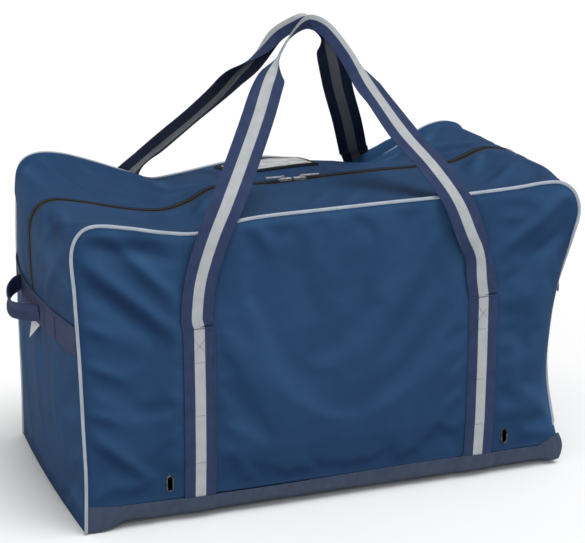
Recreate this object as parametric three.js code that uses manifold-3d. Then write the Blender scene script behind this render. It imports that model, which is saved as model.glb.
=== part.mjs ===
// Hockey equipment bag: a soft box of coated polyester with a vinyl base, a zip along the middle
// of its top that runs down both ends, two long webbing handles, and a grab loop on each end.
// Millimetres, +Z up. X runs along the bag's length and the front faces -Y. The origin is on the
// ground, under the middle of the bag. The handles stand raised and meet above the bag.

import * as THREE from 'three';
import { mergeVertices } from 'three/addons/utils/BufferGeometryUtils.js';
import Module from 'manifold-3d';

const wasm = await Module();
wasm.setup();

// Driving dimensions
const BAG_LENGTH = 940; // piping to piping
const BAG_DEPTH = 500; // front piping to back piping
const CORNER_RADIUS = 55; // top corners of the front and back panels
const SHOULDER = 488; // height where those corners begin
const CLOTH = 2.6; // fabric with its lining
const PIPING_RADIUS = 3;
const PANEL_MARGIN = 5; // from the gusset's outer face to the edge of the front or back panel
const BASE_LIP = 45; // height of the vinyl base's turned-up edge
const END_SWELL = 20; // how far the ends bulge at their middle
const PANEL_SWELL = 8; // how far the front and back bulge
const STRAP_WIDTH = 57;
const STRAP_THICKNESS = 3;
const STRAP_X = 268; // middle of each sewn strap
const ANCHOR = 355; // height where a strap stops being sewn and becomes the handle
const BAND_WIDTH = 50; // webbing band sewn across each end
const BAND_FOOT = 322;
const ZIP_TAPE = 12; // visible width of one zip tape
const ZIP_SLIT = 3.4; // space between the two tapes
const CLEAR = 0.5; // space between neighbouring pieces
const BASE_ROUND = 24; // radius of the base's long edges
const SPLIT = 0.62; // how far round the top corners, from 0 to 1, the ends reach

const halfLength = BAG_LENGTH / 2;
const halfDepth = BAG_DEPTH / 2;
const cornerX = halfLength - CORNER_RADIUS;
const bandTop = BAND_FOOT + BAND_WIDTH;
const seamY = halfDepth - PIPING_RADIUS; // the gusset's long edges
const tapeOuterY = ZIP_SLIT / 2 + ZIP_TAPE;
const footHeight = 3; // lower edge of the end panels and the piping
const splitGap = CLEAR / (Math.PI * CORNER_RADIUS); // half the space at SPLIT, as a share of the corner

const { lerp, clamp, smoothstep } = THREE.MathUtils;

// ---- Surfaces ----

// A height profile that runs smoothly through [x, z] points and is level at each of them.
function profile(points) {
  return (x) => {
    let i = 1;
    while (i < points.length - 1 && x > points[i][0]) {
      i += 1;
    }
    const [x0, z0] = points[i - 1];
    const [x1, z1] = points[i];
    return lerp(z0, z1, smoothstep(x, x0, x1));
  };
}

// The top sags under the handles and stands up at its corners.
const frontEdge = profile([[-cornerX, 543], [-260, 528], [-140, 537], [200, 541], [cornerX, 546]]);
const zipLine = profile([[-cornerX, 532], [-260, 524], [-140, 532], [130, 532], [280, 534],
  [360, 552], [cornerX, 554]]);
const backEdge = profile([[-cornerX, 546], [-260, 528], [30, 526], [220, 516], [cornerX, 546]]);

function topHeight(x, y) {
  const across = y / halfDepth;
  const edge = across < 0 ? frontEdge(x) : backEdge(x);
  return lerp(zipLine(x), edge, across ** 2);
}

function endSwell(y, z) {
  return END_SWELL * (1 - (y / halfDepth) ** 2) * lerp(0.3, 1, smoothstep(z, 0, 300));
}

// The cloth over the top and down both ends: along runs from -1 at the left band to 0 at the
// shoulder, to 1 over the left corner, to 2 along the top, to 3 over the right corner and to 4
// at the right band.
function gusset(along, y) {
  const side = along < 1.5 ? -1 : 1;
  const turn = side < 0 ? along : 3 - along;
  if (turn >= 1) {
    const x = lerp(-cornerX, cornerX, along - 1);
    return new THREE.Vector3(x, y, topHeight(x, y));
  }
  if (turn < 0) {
    const z = lerp(bandTop + CLEAR, SHOULDER, turn + 1);
    return new THREE.Vector3(side * (halfLength + endSwell(y, z)), y, z);
  }
  const angle = (turn * Math.PI) / 2;
  const reach = CORNER_RADIUS + endSwell(y, SHOULDER);
  const rise = topHeight(side * cornerX, y) - SHOULDER;
  const x = side * (cornerX + reach * Math.cos(angle));
  return new THREE.Vector3(x, y, SHOULDER + rise * Math.sin(angle));
}

// An end of the bag below its shoulder. The order of the arguments turns the normal outwards.
const endSurface = {
  left: (z, y) => new THREE.Vector3(-halfLength - endSwell(y, z), y, z),
  right: (y, z) => new THREE.Vector3(halfLength + endSwell(y, z), y, z),
};

function panelDepth(x, z) {
  const along = 1 - (x / halfLength) ** 2;
  const up = Math.sin(Math.PI * clamp((z - BASE_LIP) / 500, 0, 1));
  return halfDepth + 2 + PANEL_SWELL * along * up;
}

const faceSurface = {
  front: (x, z) => new THREE.Vector3(x, -panelDepth(x, z), z),
  back: (z, x) => new THREE.Vector3(x, panelDepth(x, z), z),
};

// The base's section from its front lip, round the underside, to its back lip. Its long edges
// are well rounded in the middle and tight at the corners.
function baseSurface(across, x) {
  const round = lerp(BASE_ROUND, 8, smoothstep(Math.abs(x), 400, 460));
  const side = across < 2.5 ? -1 : 1;
  const step = side < 0 ? across : 5 - across;
  const outer = halfDepth + 2;
  if (step < 1) {
    return new THREE.Vector3(x, side * outer, lerp(BASE_LIP, round, step));
  }
  if (step < 2) {
    const angle = ((step - 1) * Math.PI) / 2;
    const y = side * (outer - round + round * Math.cos(angle));
    return new THREE.Vector3(x, y, round - round * Math.sin(angle));
  }
  return new THREE.Vector3(x, lerp(-(outer - round), outer - round, across - 2), 0);
}

function normalAt(surface, a, b, stepA, stepB) {
  const alongA = surface(a + stepA, b).sub(surface(a - stepA, b));
  const alongB = surface(a, b + stepB).sub(surface(a, b - stepB));
  return alongA.cross(alongB).normalize();
}

// ---- Solids ----

function closedBox(width, depth, height, divisions) {
  const box = new THREE.BoxGeometry(width, depth, height, ...divisions);
  box.deleteAttribute('normal');
  box.deleteAttribute('uv');
  return mergeVertices(box);
}

function moveVertices(geometry, place) {
  const position = geometry.attributes.position;
  for (let i = 0; i < position.count; i += 1) {
    const point = place(position.getX(i), position.getY(i), position.getZ(i));
    position.setXYZ(i, point.x, point.y, point.z);
  }
  return geometry;
}

// A sheet that follows surface(a, b), between two heights over it.
function sheet(surface, rangeA, rangeB, divisions, inside, outside) {
  const box = closedBox(1, 1, 1, [divisions[0], divisions[1], 1]);
  const stepA = Math.abs(rangeA[1] - rangeA[0]) / 1000;
  const stepB = Math.abs(rangeB[1] - rangeB[0]) / 1000;
  return moveVertices(box, (u, v, w) => {
    const a = lerp(rangeA[0], rangeA[1], u + 0.5);
    const b = lerp(rangeB[0], rangeB[1], v + 0.5);
    const normal = normalAt(surface, a, b, stepA, stepB);
    return surface(a, b).addScaledVector(normal, w > 0 ? outside : inside);
  });
}

// Webbing along stations {at, across, width, thickness}, where across points over its width.
function ribbon(stations, divisions) {
  const curve = (vectors) => new THREE.CatmullRomCurve3(vectors, false, 'centripetal');
  const path = curve(stations.map((station) => station.at));
  const across = curve(stations.map((station) => station.across));
  const size = curve(stations.map(({ width, thickness }) => new THREE.Vector3(width, thickness, 0)));
  return moveVertices(closedBox(1, 1, 1, [divisions, 1, 1]), (u, v, w) => {
    const t = clamp(u + 0.5, 0, 1);
    const tangent = path.getTangent(t);
    const widthways = across.getPoint(t).projectOnPlane(tangent).normalize();
    const normal = tangent.cross(widthways);
    const { x: width, y: thickness } = size.getPoint(t);
    return path.getPoint(t).addScaledVector(widthways, v * width).addScaledVector(normal, w * thickness);
  });
}

function toSolid(geometry) {
  const plain = new THREE.BufferGeometry();
  plain.setAttribute('position', geometry.attributes.position);
  plain.setIndex(geometry.index);
  const merged = mergeVertices(plain);
  return new wasm.Manifold(new wasm.Mesh({
    numProp: 3,
    vertProperties: new Float32Array(merged.attributes.position.array),
    triVerts: new Uint32Array(merged.index.array),
  }));
}

function fromSolid(solid) {
  const mesh = solid.getMesh();
  const geometry = new THREE.BufferGeometry();
  geometry.setAttribute('position', new THREE.BufferAttribute(mesh.vertProperties, 3));
  geometry.setIndex(new THREE.BufferAttribute(mesh.triVerts, 1));
  return geometry;
}

// An upright oval with straight sides, as a path in its own plane.
function ovalPath(width, height, Kind) {
  const radius = width / 2;
  const straight = height / 2 - radius;
  const path = new Kind();
  path.absarc(0, straight, radius, 0, Math.PI, false);
  path.absarc(0, -straight, radius, Math.PI, 2 * Math.PI, false);
  path.closePath();
  return path;
}

// An upright oval block along Y from y0 to y1, with or without an oval hole.
function ovalBlock(width, height, y0, y1, hole) {
  const shape = ovalPath(width, height, THREE.Shape);
  if (hole) {
    shape.holes.push(ovalPath(hole.width, hole.height, THREE.Path));
  }
  const block = new THREE.ExtrudeGeometry(shape, { depth: y1 - y0, bevelEnabled: false, curveSegments: 3 });
  return block.rotateX(Math.PI / 2).translate(0, y1, 0);
}

function boxAt(low, high) {
  const box = closedBox(high[0] - low[0], high[1] - low[1], high[2] - low[2], [1, 1, 1]);
  return box.translate((low[0] + high[0]) / 2, (low[1] + high[1]) / 2, (low[2] + high[2]) / 2);
}

// ---- Materials ----

const finish = (color, roughness, metalness = 0) => (
  new THREE.MeshStandardMaterial({ color, roughness, metalness })
);
const materials = {
  cloth: finish('#2b4f79', 0.8),
  vinyl: finish('#3e495f', 0.6),
  webbing: finish('#343a66', 0.85),
  strap: finish('#4a5580', 0.85),
  piping: finish('#aab2ba', 0.55),
  tape: finish('#26282c', 0.8),
  gunmetal: finish('#3a3c40', 0.35, 0.9),
  nickel: finish('#b9bcc0', 0.3, 0.95),
  binding: finish('#1c1e22', 0.75),
  film: finish('#dfe5ea', 0.15),
  card: finish('#d8dadb', 0.9),
  label: finish('#d9dadd', 0.9),
};

const bag = new THREE.Group();

function add(name, geometry, material) {
  const mesh = new THREE.Mesh(geometry, materials[material]);
  mesh.name = name;
  bag.add(mesh);
  return mesh;
}

// ---- Shell ----

function makeBase() {
  const ends = halfLength - PIPING_RADIUS - CLEAR;
  const base = sheet(baseSurface, [0, 5], [-ends, ends], [15, 14], -CLOTH, 0);
  add('base_panel', base, 'vinyl');
}

// The front or back panel, inside the gusset's outline, with a slot for each vent eyelet.
function makePanel(face) {
  const side = face === 'front' ? -1 : 1;
  const outline = (along) => {
    const outward = normalAt(gusset, along, side * halfDepth, 0.003, 0.5);
    return gusset(along, side * halfDepth).addScaledVector(outward, -PANEL_MARGIN);
  };
  const surface = (along, up) => {
    const rim = outline(clamp(along, 0, 3));
    return new THREE.Vector3(rim.x, 0, lerp(BASE_LIP + CLEAR, rim.z, up));
  };
  const corner = [0, 0.25, 0.5, 0.75];
  const top = Array.from({ length: 21 }, (_, i) => 1 + i / 20);
  const columns = [...corner, ...top, ...corner.map((along) => 3 - along).reverse()];
  const count = columns.length - 1;
  const grid = moveVertices(closedBox(1, 1, 1, [count, 6, 1]), (u, v, w) => {
    const column = columns[Math.round((u + 0.5) * count)];
    const point = surface(column, v + 0.5);
    const depth = panelDepth(point.x, point.z) - (w * side > 0 ? 0 : CLOTH);
    return point.setY(side * depth);
  });
  // Width, height and thickness of the box map to X, Z and Y, which mirrors it: turn it back.
  const index = grid.index;
  for (let i = 0; i < index.count; i += 3) {
    const first = index.getX(i);
    index.setX(i, index.getX(i + 1));
    index.setX(i + 1, first);
  }
  const slot = VENT_BARREL_WIDTH + 2 * CLEAR;
  const height = VENT_BARREL_HEIGHT + 2 * CLEAR;
  let solid = toSolid(grid);
  for (const ventX of [-VENT_X, VENT_X]) {
    const block = ovalBlock(slot, height, -20, 20).translate(ventX, side * halfDepth, VENT_HEIGHT);
    solid = solid.subtract(toSolid(block));
  }
  add(`${face}_panel`, fromSolid(solid), 'cloth');
}

// The sheet that a range of the bag's end makes, whichever end it is.
function endSheet(end, rangeZ, rangeY, divisions, inside, outside) {
  if (end === 'left') {
    return sheet(endSurface.left, rangeZ, rangeY, divisions, inside, outside);
  }
  return sheet(endSurface.right, rangeY, rangeZ, [divisions[1], divisions[0]], inside, outside);
}

const halves = {
  front: { cloth: [-seamY, -tapeOuterY - CLEAR], tape: [-tapeOuterY, -ZIP_SLIT / 2] },
  back: { cloth: [tapeOuterY + CLEAR, seamY], tape: [ZIP_SLIT / 2, tapeOuterY] },
};

function makeEnd(end) {
  const lower = endSheet(end, [footHeight, bandTop - CLEAR], [-seamY, seamY], [8, 10], -CLOTH, 0);
  add(`${end}_end_lower`, lower, 'cloth');
  const band = endSheet(end, [BAND_FOOT, bandTop], [-seamY, seamY], [1, 10], CLEAR, CLEAR + 2);
  add(`${end}_end_band`, band, 'webbing');
  const upper = end === 'left' ? [-1, SPLIT - splitGap] : [3 - SPLIT + splitGap, 4];
  for (const half of ['front', 'back']) {
    const { cloth, tape } = halves[half];
    add(`${end}_end_upper_${half}`, sheet(gusset, upper, cloth, [6, 6], -CLOTH, 0), 'cloth');
    add(`${end}_zip_tape_${half}`, sheet(gusset, upper, tape, [6, 1], -CLOTH, 0), 'tape');
  }
}

function makeTop(half) {
  const { cloth, tape } = halves[half];
  const between = [SPLIT + splitGap, 3 - SPLIT - splitGap];
  add(`top_flap_${half}`, sheet(gusset, between, cloth, [28, 5], -CLOTH, 0), 'cloth');
  add(`top_zip_tape_${half}`, sheet(gusset, between, tape, [28, 1], -CLOTH, 0), 'tape');
}

function makePiping(face) {
  const y = (face === 'front' ? -1 : 1) * (halfDepth + 0.5);
  const points = [new THREE.Vector3(-halfLength, y, footHeight)];
  points.push(new THREE.Vector3(-halfLength, y, SHOULDER * 0.5));
  points.push(new THREE.Vector3(-halfLength, y, SHOULDER * 0.95));
  for (let i = 0; i <= 36; i += 1) {
    points.push(gusset(i / 12, y));
  }
  points.push(new THREE.Vector3(halfLength, y, SHOULDER * 0.95));
  points.push(new THREE.Vector3(halfLength, y, SHOULDER * 0.5));
  points.push(new THREE.Vector3(halfLength, y, footHeight));
  const section = new THREE.Shape();
  section.absarc(0, 0, PIPING_RADIUS - CLEAR, 0, 2 * Math.PI, false);
  const cord = new THREE.ExtrudeGeometry(section, {
    extrudePath: new THREE.CatmullRomCurve3(points, false, 'centripetal'),
    steps: 110,
    curveSegments: 2,
  });
  add(`piping_${face}`, cord, 'piping');
}

// ---- Vents ----

const VENT_X = 323;
const VENT_HEIGHT = 75;
const VENT_BARREL_WIDTH = 10;
const VENT_BARREL_HEIGHT = 27;

function makeVent(face, hand) {
  const side = face === 'front' ? -1 : 1;
  const x = hand === 'left' ? -VENT_X : VENT_X;
  const wall = panelDepth(x, VENT_HEIGHT);
  const hole = { width: VENT_BARREL_WIDTH - 3, height: VENT_BARREL_HEIGHT - 3 };
  const ring = (width, height, near, far) => {
    const [y0, y1] = side < 0 ? [-far, -near] : [near, far];
    return toSolid(ovalBlock(width, height, y0, y1, hole));
  };
  const barrel = ring(VENT_BARREL_WIDTH, VENT_BARREL_HEIGHT, wall - CLOTH - 1.6, wall + 1.6);
  const outside = ring(VENT_BARREL_WIDTH + 4, VENT_BARREL_HEIGHT + 4, wall + CLEAR, wall + 1.6);
  const washer = ring(VENT_BARREL_WIDTH + 4, VENT_BARREL_HEIGHT + 4, wall - CLOTH - 1.6, wall - CLOTH - CLEAR);
  const eyelet = fromSolid(barrel.add(outside).add(washer)).translate(x, 0, VENT_HEIGHT);
  add(`vent_eyelet_${face}_${hand}`, eyelet, 'gunmetal');
}

// ---- Handles ----

// The sewn part of a strap, from the base's seam to the anchor.
function makeStrap(face, hand) {
  const x = hand === 'left' ? -STRAP_X : STRAP_X;
  const rangeX = [x - STRAP_WIDTH / 2, x + STRAP_WIDTH / 2];
  const rangeZ = [BASE_LIP + 1, ANCHOR - 4];
  const thickness = [CLEAR, CLEAR + STRAP_THICKNESS];
  const strap = face === 'front'
    ? sheet(faceSurface.front, rangeX, rangeZ, [2, 10], ...thickness)
    : sheet(faceSurface.back, rangeZ, rangeX, [10, 2], ...thickness);
  add(`strap_${face}_${hand}`, strap, 'strap');
}

// The loose part of a handle: up both sides of the front, over the top edge, and leaning in to
// meet its twin over the bag, where the webbing turns on edge and folds in half.
function handleStations() {
  const off = 3 * CLEAR + STRAP_THICKNESS / 2;
  const onPanel = (x, z) => new THREE.Vector3(x, -panelDepth(x, z) - off, z);
  const at = (x, y, z) => new THREE.Vector3(x, y, z);
  const flat = (vector) => ({ at: vector, width: STRAP_WIDTH, thickness: STRAP_THICKNESS });
  const gathered = (vector, width) => ({ at: vector, width, thickness: 6 });
  const leftLeg = [
    flat(onPanel(-STRAP_X, ANCHOR + 1)),
    flat(onPanel(-263, 405)),
    flat(onPanel(-249, 465)),
    flat(at(-229, -257.5, 528)),
    flat(at(-212, -249, 560)),
    flat(at(-171, -203, 612)),
    flat(at(-104, -125, 699)),
    { at: at(-56, -70, 765), width: 48, thickness: 4 },
  ].map((station) => ({ ...station, across: at(1, 0, 0) }));
  const apex = [
    { ...gathered(at(-14, -34, 812), 38), across: at(0.5, -0.85, -0.2) },
    { ...gathered(at(32, -26, 835), 36), across: at(0, -1, 0) },
    { ...gathered(at(80, -34, 812), 38), across: at(-0.5, -0.85, -0.2) },
  ];
  const rightLeg = [
    { at: at(113, -70, 765), width: 48, thickness: 4 },
    flat(at(140, -125, 699)),
    flat(at(178, -203, 612)),
    flat(at(209, -249, 560)),
    flat(at(228, -257.5, 528)),
    flat(onPanel(249, 465)),
    flat(onPanel(263, 405)),
    flat(onPanel(STRAP_X, ANCHOR + 1)),
  ].map((station) => ({ ...station, across: at(-1, 0, 0) }));
  return [...leftLeg, ...apex, ...rightLeg];
}

function mirrorY(stations) {
  const flip = new THREE.Vector3(1, -1, 1);
  return stations.map((station) => ({
    ...station,
    at: station.at.clone().multiply(flip),
    across: station.across.clone().multiply(flip),
  }));
}

function makeHandle(face) {
  const stations = face === 'front' ? handleStations() : mirrorY(handleStations());
  add(`handle_${face}`, ribbon(stations, 60), 'strap');
}

// A grab loop stands out from the band on each end. Its roots are pinched where it is sewn.
const GRAB_HEIGHT = 347;
const GRAB_SPREAD = 62;

function makeGrab(end) {
  const side = end === 'left' ? -1 : 1;
  const root = halfLength + endSwell(GRAB_SPREAD, GRAB_HEIGHT) + CLEAR + 2;
  const half = [[4, GRAB_SPREAD, 8], [18, 60, 24], [38, 46, 34], [50, 24, 34]];
  const tip = [[54, 0, 34]];
  const near = half.map(([out, y, width]) => [out, -y, width]);
  const outline = [...near, ...tip, ...half.slice().reverse()];
  const stations = outline.map(([out, y, width]) => ({
    at: new THREE.Vector3(side * (root + out), y, GRAB_HEIGHT),
    across: new THREE.Vector3(0, 0, 1),
    width,
    thickness: 5,
  }));
  add(`grab_loop_${end}`, ribbon(stations, 24), 'webbing');
}

function makeLabel() {
  const label = endSheet('left', [BAND_FOOT - 37, BAND_FOOT - CLEAR], [-52, -10], [1, 1], CLEAR, CLEAR + 0.8);
  add('care_label', label, 'label');
}

// ---- Zip sliders ----

const SLIDER_X = 14; // middle of each slider from the middle of the bag, zip closed
const PIN_RISE = 7.7; // the pull's pivot over the zip

function makeSlider(hand) {
  const side = hand === 'left' ? -1 : 1;
  const zip = zipLine(0);
  const body = boxAt([-12, -7, zip + CLEAR], [12, 7, zip + 5]);
  const lug = boxAt([-1.5, -1.5, zip + 4], [1.5, 1.5, zip + PIN_RISE + 1.5]).translate(side * 6, 0, 0);
  const slider = fromSolid(toSolid(body).add(toSolid(lug))).translate(side * SLIDER_X, 0, 0);
  add(`zip_slider_${hand}`, slider, 'nickel');
}

// A flat tongue whose two ears hold the slider's lug between them.
function makePull(hand) {
  const side = hand === 'left' ? -1 : 1;
  const tongue = new THREE.Shape();
  const outline = [[-1.5, 2.2], [3, 2.2], [3, -2.2], [-1.5, -2.2], [-1.5, -4.4], [30, -4.8],
    [33, -2.5], [33, 2.5], [30, 4.8], [-1.5, 4.4]];
  outline.forEach(([x, y], i) => (i ? tongue.lineTo(x, y) : tongue.moveTo(x, y)));
  tongue.closePath();
  const pull = new THREE.ExtrudeGeometry(tongue, { depth: 1.8, bevelEnabled: false });
  pull.translate(0, 0, -0.9).rotateZ(side < 0 ? Math.PI : 0);
  pull.translate(side * (SLIDER_X + 6), 0, zipLine(0) + PIN_RISE);
  add(`zip_pull_${hand}`, pull, 'nickel');
}

// ---- ID window ----

const WINDOW = { x: [-86, 90], y: [95, 205], border: 8 };

function makeIdWindow() {
  const top = (x, y) => new THREE.Vector3(x, y, topHeight(x, y));
  const inset = (range, by) => [range[0] + by, range[1] - by];
  const edge = WINDOW.border;
  const layer = (by, inside, outside) => (
    sheet(top, inset(WINDOW.x, by), inset(WINDOW.y, by), [8, 4], inside, outside)
  );
  const opening = toSolid(layer(edge, -5, 8));
  add('id_window_frame', fromSolid(toSolid(layer(0, CLEAR, 2.6)).subtract(opening)), 'binding');
  add('id_window_film', layer(edge + CLEAR, 2, 2.6), 'film');
  add('id_card', layer(edge + 2, CLEAR, 1.4), 'card');
}

// ---- Assembly ----

makeBase();
for (const face of ['front', 'back']) {
  makePanel(face);
  makePiping(face);
  makeTop(face);
  makeHandle(face);
  for (const hand of ['left', 'right']) {
    makeStrap(face, hand);
    makeVent(face, hand);
  }
}
for (const end of ['left', 'right']) {
  makeEnd(end);
  makeGrab(end);
  makeSlider(end);
  makePull(end);
}
makeLabel();
makeIdWindow();

export default bag;
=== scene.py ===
import math

import bpy
import numpy as np
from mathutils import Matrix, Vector, noise


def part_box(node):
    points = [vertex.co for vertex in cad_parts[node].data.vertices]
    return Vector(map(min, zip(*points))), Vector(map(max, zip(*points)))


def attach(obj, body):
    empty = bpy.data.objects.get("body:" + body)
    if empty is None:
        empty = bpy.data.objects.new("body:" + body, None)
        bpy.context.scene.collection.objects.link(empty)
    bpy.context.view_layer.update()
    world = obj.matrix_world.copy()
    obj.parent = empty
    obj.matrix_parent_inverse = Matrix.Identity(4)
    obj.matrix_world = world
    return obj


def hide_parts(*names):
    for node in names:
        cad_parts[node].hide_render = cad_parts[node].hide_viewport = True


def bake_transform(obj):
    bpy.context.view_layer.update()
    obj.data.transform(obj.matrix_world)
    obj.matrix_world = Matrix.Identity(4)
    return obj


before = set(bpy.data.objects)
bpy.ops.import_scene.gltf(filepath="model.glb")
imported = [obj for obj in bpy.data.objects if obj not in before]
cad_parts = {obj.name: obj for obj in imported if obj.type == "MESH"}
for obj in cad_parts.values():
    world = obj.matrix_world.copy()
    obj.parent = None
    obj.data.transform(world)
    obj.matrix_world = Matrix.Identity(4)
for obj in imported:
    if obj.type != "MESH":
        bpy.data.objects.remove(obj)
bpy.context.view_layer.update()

# The looks of a hockey equipment bag. Metres in the row frame: X along the bag, front to -Y.
# Tables of points are in millimetres and turned to metres where they are read.
MM = 0.001

# ---- Sizes ----

HALF_DEPTH = 250 * MM  # middle of the bag to the seams of the front and back panels
PIPING_RADIUS = 3.1 * MM
BASE_SEAM = 45 * MM  # height of the vinyl base's turned-up edge
STRAP_X = 268 * MM
STRAP_WIDTH = 57 * MM
STRAP_THICK = 2.4 * MM
STRIPE_HALF = 9.5 * MM  # half the width of the pale stripe woven into the straps
ANCHOR = 355 * MM  # height where a sewn strap becomes the loose handle
BAND = (322 * MM, 374 * MM)  # lower and upper edge of the webbing band on each end
TAPE = 12 * MM  # visible width of one zip tape
COIL_GAP = 1.5 * MM  # middle of the zip to the edge of its tape
CLOTH = 1.3 * MM  # thickness of the cloth with its lining
VENT = (323 * MM, 75 * MM)  # place of each vent eyelet on its panel, from the middle and the ground
CLOTH_STEP = 8 * MM  # grid of the cloth before its subdivision
SEAM_FREE = 26 * MM  # how far inside its seams a cloth is free to fold
STITCH = (3.4 * MM, 0.9 * MM, 0.9 * MM)  # length, gap and thickness of a common stitch
PAINTED_LIGHT_WAY = (0.3, -0.36, 0.88)  # the way of the painted light: cloth that faces this way is painted paler, cloth that faces away darker
PAINTED_LIGHT_GAIN = 1.25  # how strongly a slope against the plain shape shows as painted light and shade in the cloth's tone
SIDES = {"front": -1, "back": 1, "left": -1, "right": 1}  # the way along Y or X of each side

# ---- Camera ----

CAMERA_PLACE = Vector((-1.1264, -2.9919, 1.279))
CAMERA_AZIMUTH = math.radians(-20.63)
CAMERA_ELEVATION = math.radians(16.11)
CAMERA_LENS = 108.9


def make_camera():
    data = bpy.data.cameras.new("camera")
    data.lens = CAMERA_LENS
    camera = bpy.data.objects.new("camera", data)
    bpy.context.scene.collection.objects.link(camera)
    level = math.cos(CAMERA_ELEVATION)
    back = Vector((math.sin(CAMERA_AZIMUTH) * level, -math.cos(CAMERA_AZIMUTH) * level,
                   math.sin(CAMERA_ELEVATION)))
    camera.location = CAMERA_PLACE
    camera.rotation_euler = (-back).to_track_quat("-Z", "Y").to_euler()
    bpy.context.scene.camera = camera


make_camera()

# ---- Outline of the bag ----

# Stations round the bag, from the foot of the left end, up it, over the top and down the right
# end. Each has (x, z) of the front seam, of the middle line, where the zip runs, and of the
# back seam.
STATIONS = np.array([
    ((-473, 4), (-478, 3), (-472, 3)),
    ((-470, 100), (-484, 100), (-470, 100)),
    ((-472, 200), (-490, 200), (-470, 200)),
    ((-474, 300), (-493, 303), (-470, 300)),
    ((-476, 356), (-495, 362), (-469, 358)),
    ((-479, 432), (-497, 430), (-467, 432)),
    ((-482, 500), (-496, 490), (-463, 504)),
    ((-468, 534), (-483, 521), (-456, 545)),
    ((-440, 545), (-455, 534), (-428, 563)),
    ((-385, 537), (-400, 526), (-380, 560)),
    ((-325, 524), (-332, 509), (-318, 540)),
    ((-262, 517), (-258, 498), (-256, 516)),
    ((-205, 530), (-205, 509), (-205, 497)),
    ((-145, 536), (-150, 532), (-150, 501)),
    ((-40, 538), (-40, 531), (-50, 516)),
    ((70, 540), (60, 535), (40, 521)),
    ((180, 541), (170, 538), (150, 499)),
    ((260, 543), (250, 538), (236, 485)),
    ((335, 546), (325, 542), (312, 514)),
    ((390, 550), (385, 562), (375, 554)),
    ((425, 547), (428, 560), (425, 565)),
    ((452, 527), (460, 545), (458, 550)),
    ((463, 490), (478, 498), (472, 500)),
    ((452, 440), (484, 430), (474, 430)),
    ((438, 358), (485, 360), (474, 358)),
    ((424, 277), (482, 290), (470, 280)),
    ((418, 180), (476, 190), (466, 180)),
    ((426, 100), (470, 105), (466, 100)),
    ((453, 4), (470, 3), (466, 3)),
]) * MM
FRONT, MIDDLE, BACK = 0, 1, 2
LINES = {"front": FRONT, "back": BACK}
LAST = len(STATIONS) - 1
BAND_AT = (3.8, LAST - 3.8)  # where the upper cloth starts and ends, under the bands
CORNERS = (7.2, LAST - 7.2)  # middles of the top corners


def spline(points, t):
    """Points on the smooth curve through the given ones, where t counts from 0 at the first."""
    points = np.asarray(points, float)
    padded = np.vstack([2 * points[0] - points[1], points, 2 * points[-1] - points[-2]])
    t = np.clip(np.atleast_1d(np.asarray(t, float)), 0, len(points) - 1)
    i = np.minimum(t.astype(int), len(points) - 2)
    f = (t - i)[:, None]
    a, b, c, d = (padded[i + k] for k in range(4))
    return b + 0.5 * f * (c - a + f * (2 * a - 5 * b + 4 * c - d + f * (3 * (b - c) + d - a)))


def lengths(points):
    """Distance along a line of points, from its first point to each of them."""
    return np.concatenate([[0], np.cumsum(np.linalg.norm(np.diff(points, axis=0), axis=1))])


def evenly(points, t0, t1, spacing):
    """Values of t from t0 to t1 that are about that far apart along the curve."""
    fine = np.linspace(t0, t1, 3000)
    along = lengths(spline(points, fine))
    count = max(2, round(along[-1] / spacing)) + 1
    return np.interp(np.linspace(0, along[-1], count), along, fine)


def smooth(value, low, high):
    """Rises softly from 0 at low to 1 at high."""
    f = np.clip((np.asarray(value, float) - low) / (high - low), 0, 1)
    return f * f * (3 - 2 * f)


def between(value, start, full, ebb, end):
    """Rises softly from 0 at start to 1 at full, and falls again from ebb to 0 at end."""
    return smooth(value, start, full) * (1 - smooth(value, ebb, end))


def gusset(t, y):
    """Points of the cloth round the ends and over the top, as a grid over t and y."""
    front, middle, back = (spline(STATIONS[:, line], t)[:, None] for line in (FRONT, MIDDLE, BACK))
    y = np.asarray(y, float)
    edge = np.where(y[None, :, None] < 0, front, back)
    flat = middle + (y / HALF_DEPTH)[None, :, None] ** 2 * (edge - middle)
    return np.stack([flat[..., 0], np.broadcast_to(y, flat.shape[:2]), flat[..., 1]], axis=-1)


def outline_of(line):
    """Functions that give a panel's left and right edge at a height, and its top at an x."""
    t = np.linspace(0, LAST, 1500)
    x, z = spline(STATIONS[:, line], t).T
    left, right = t <= CORNERS[0], t >= CORNERS[1]
    top = ~left & ~right
    return (lambda at: np.interp(at, z[left], x[left]),
            lambda at: np.interp(at, z[right][::-1], x[right][::-1]),
            lambda at: np.interp(at, x[top], z[top]))


OUTLINES = {face: outline_of(line) for face, line in LINES.items()}


# Low on the right end the front seam is pulled back out of line, and the cloth rolls round it.
WRAP_HEIGHTS = (60 * MM, 210 * MM, 320 * MM, 470 * MM)  # where this starts, is full, ebbs and ends
WRAP_REACH = 60 * MM  # how far inside the seam the cloth starts to roll
WRAP_OUT, WRAP_BACK = 22 * MM, 60 * MM  # how far the seam itself moves
FOOT_HEIGHT = 60 * MM  # below this the corner of the base is squashed in and up
FOOT_SHIFT = np.array([-16 * MM, 0, 9 * MM])


def wrapped(points):
    """Points of the cloth, vinyl or piping as they lie once the right end is pulled out of line."""
    x, y, z = (points[..., axis] for axis in range(3))
    seam = OUTLINES["front"][1](z)
    share = between(z, *WRAP_HEIGHTS) * (x > 0) * (1 - smooth(y, -HALF_DEPTH, -60 * MM))
    inside = np.clip(1 - (seam - x) / WRAP_REACH, 0, 1)
    shift = np.stack([WRAP_OUT * inside ** 2, WRAP_BACK * inside ** 4, 0 * x], axis=-1)
    foot = np.clip(1 - z / FOOT_HEIGHT, 0, 1) ** 2 * smooth(x, 420 * MM, 470 * MM)
    foot = foot * smooth(-y, 150 * MM, 240 * MM)
    return points + share[..., None] * shift + foot[..., None] * FOOT_SHIFT


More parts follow.
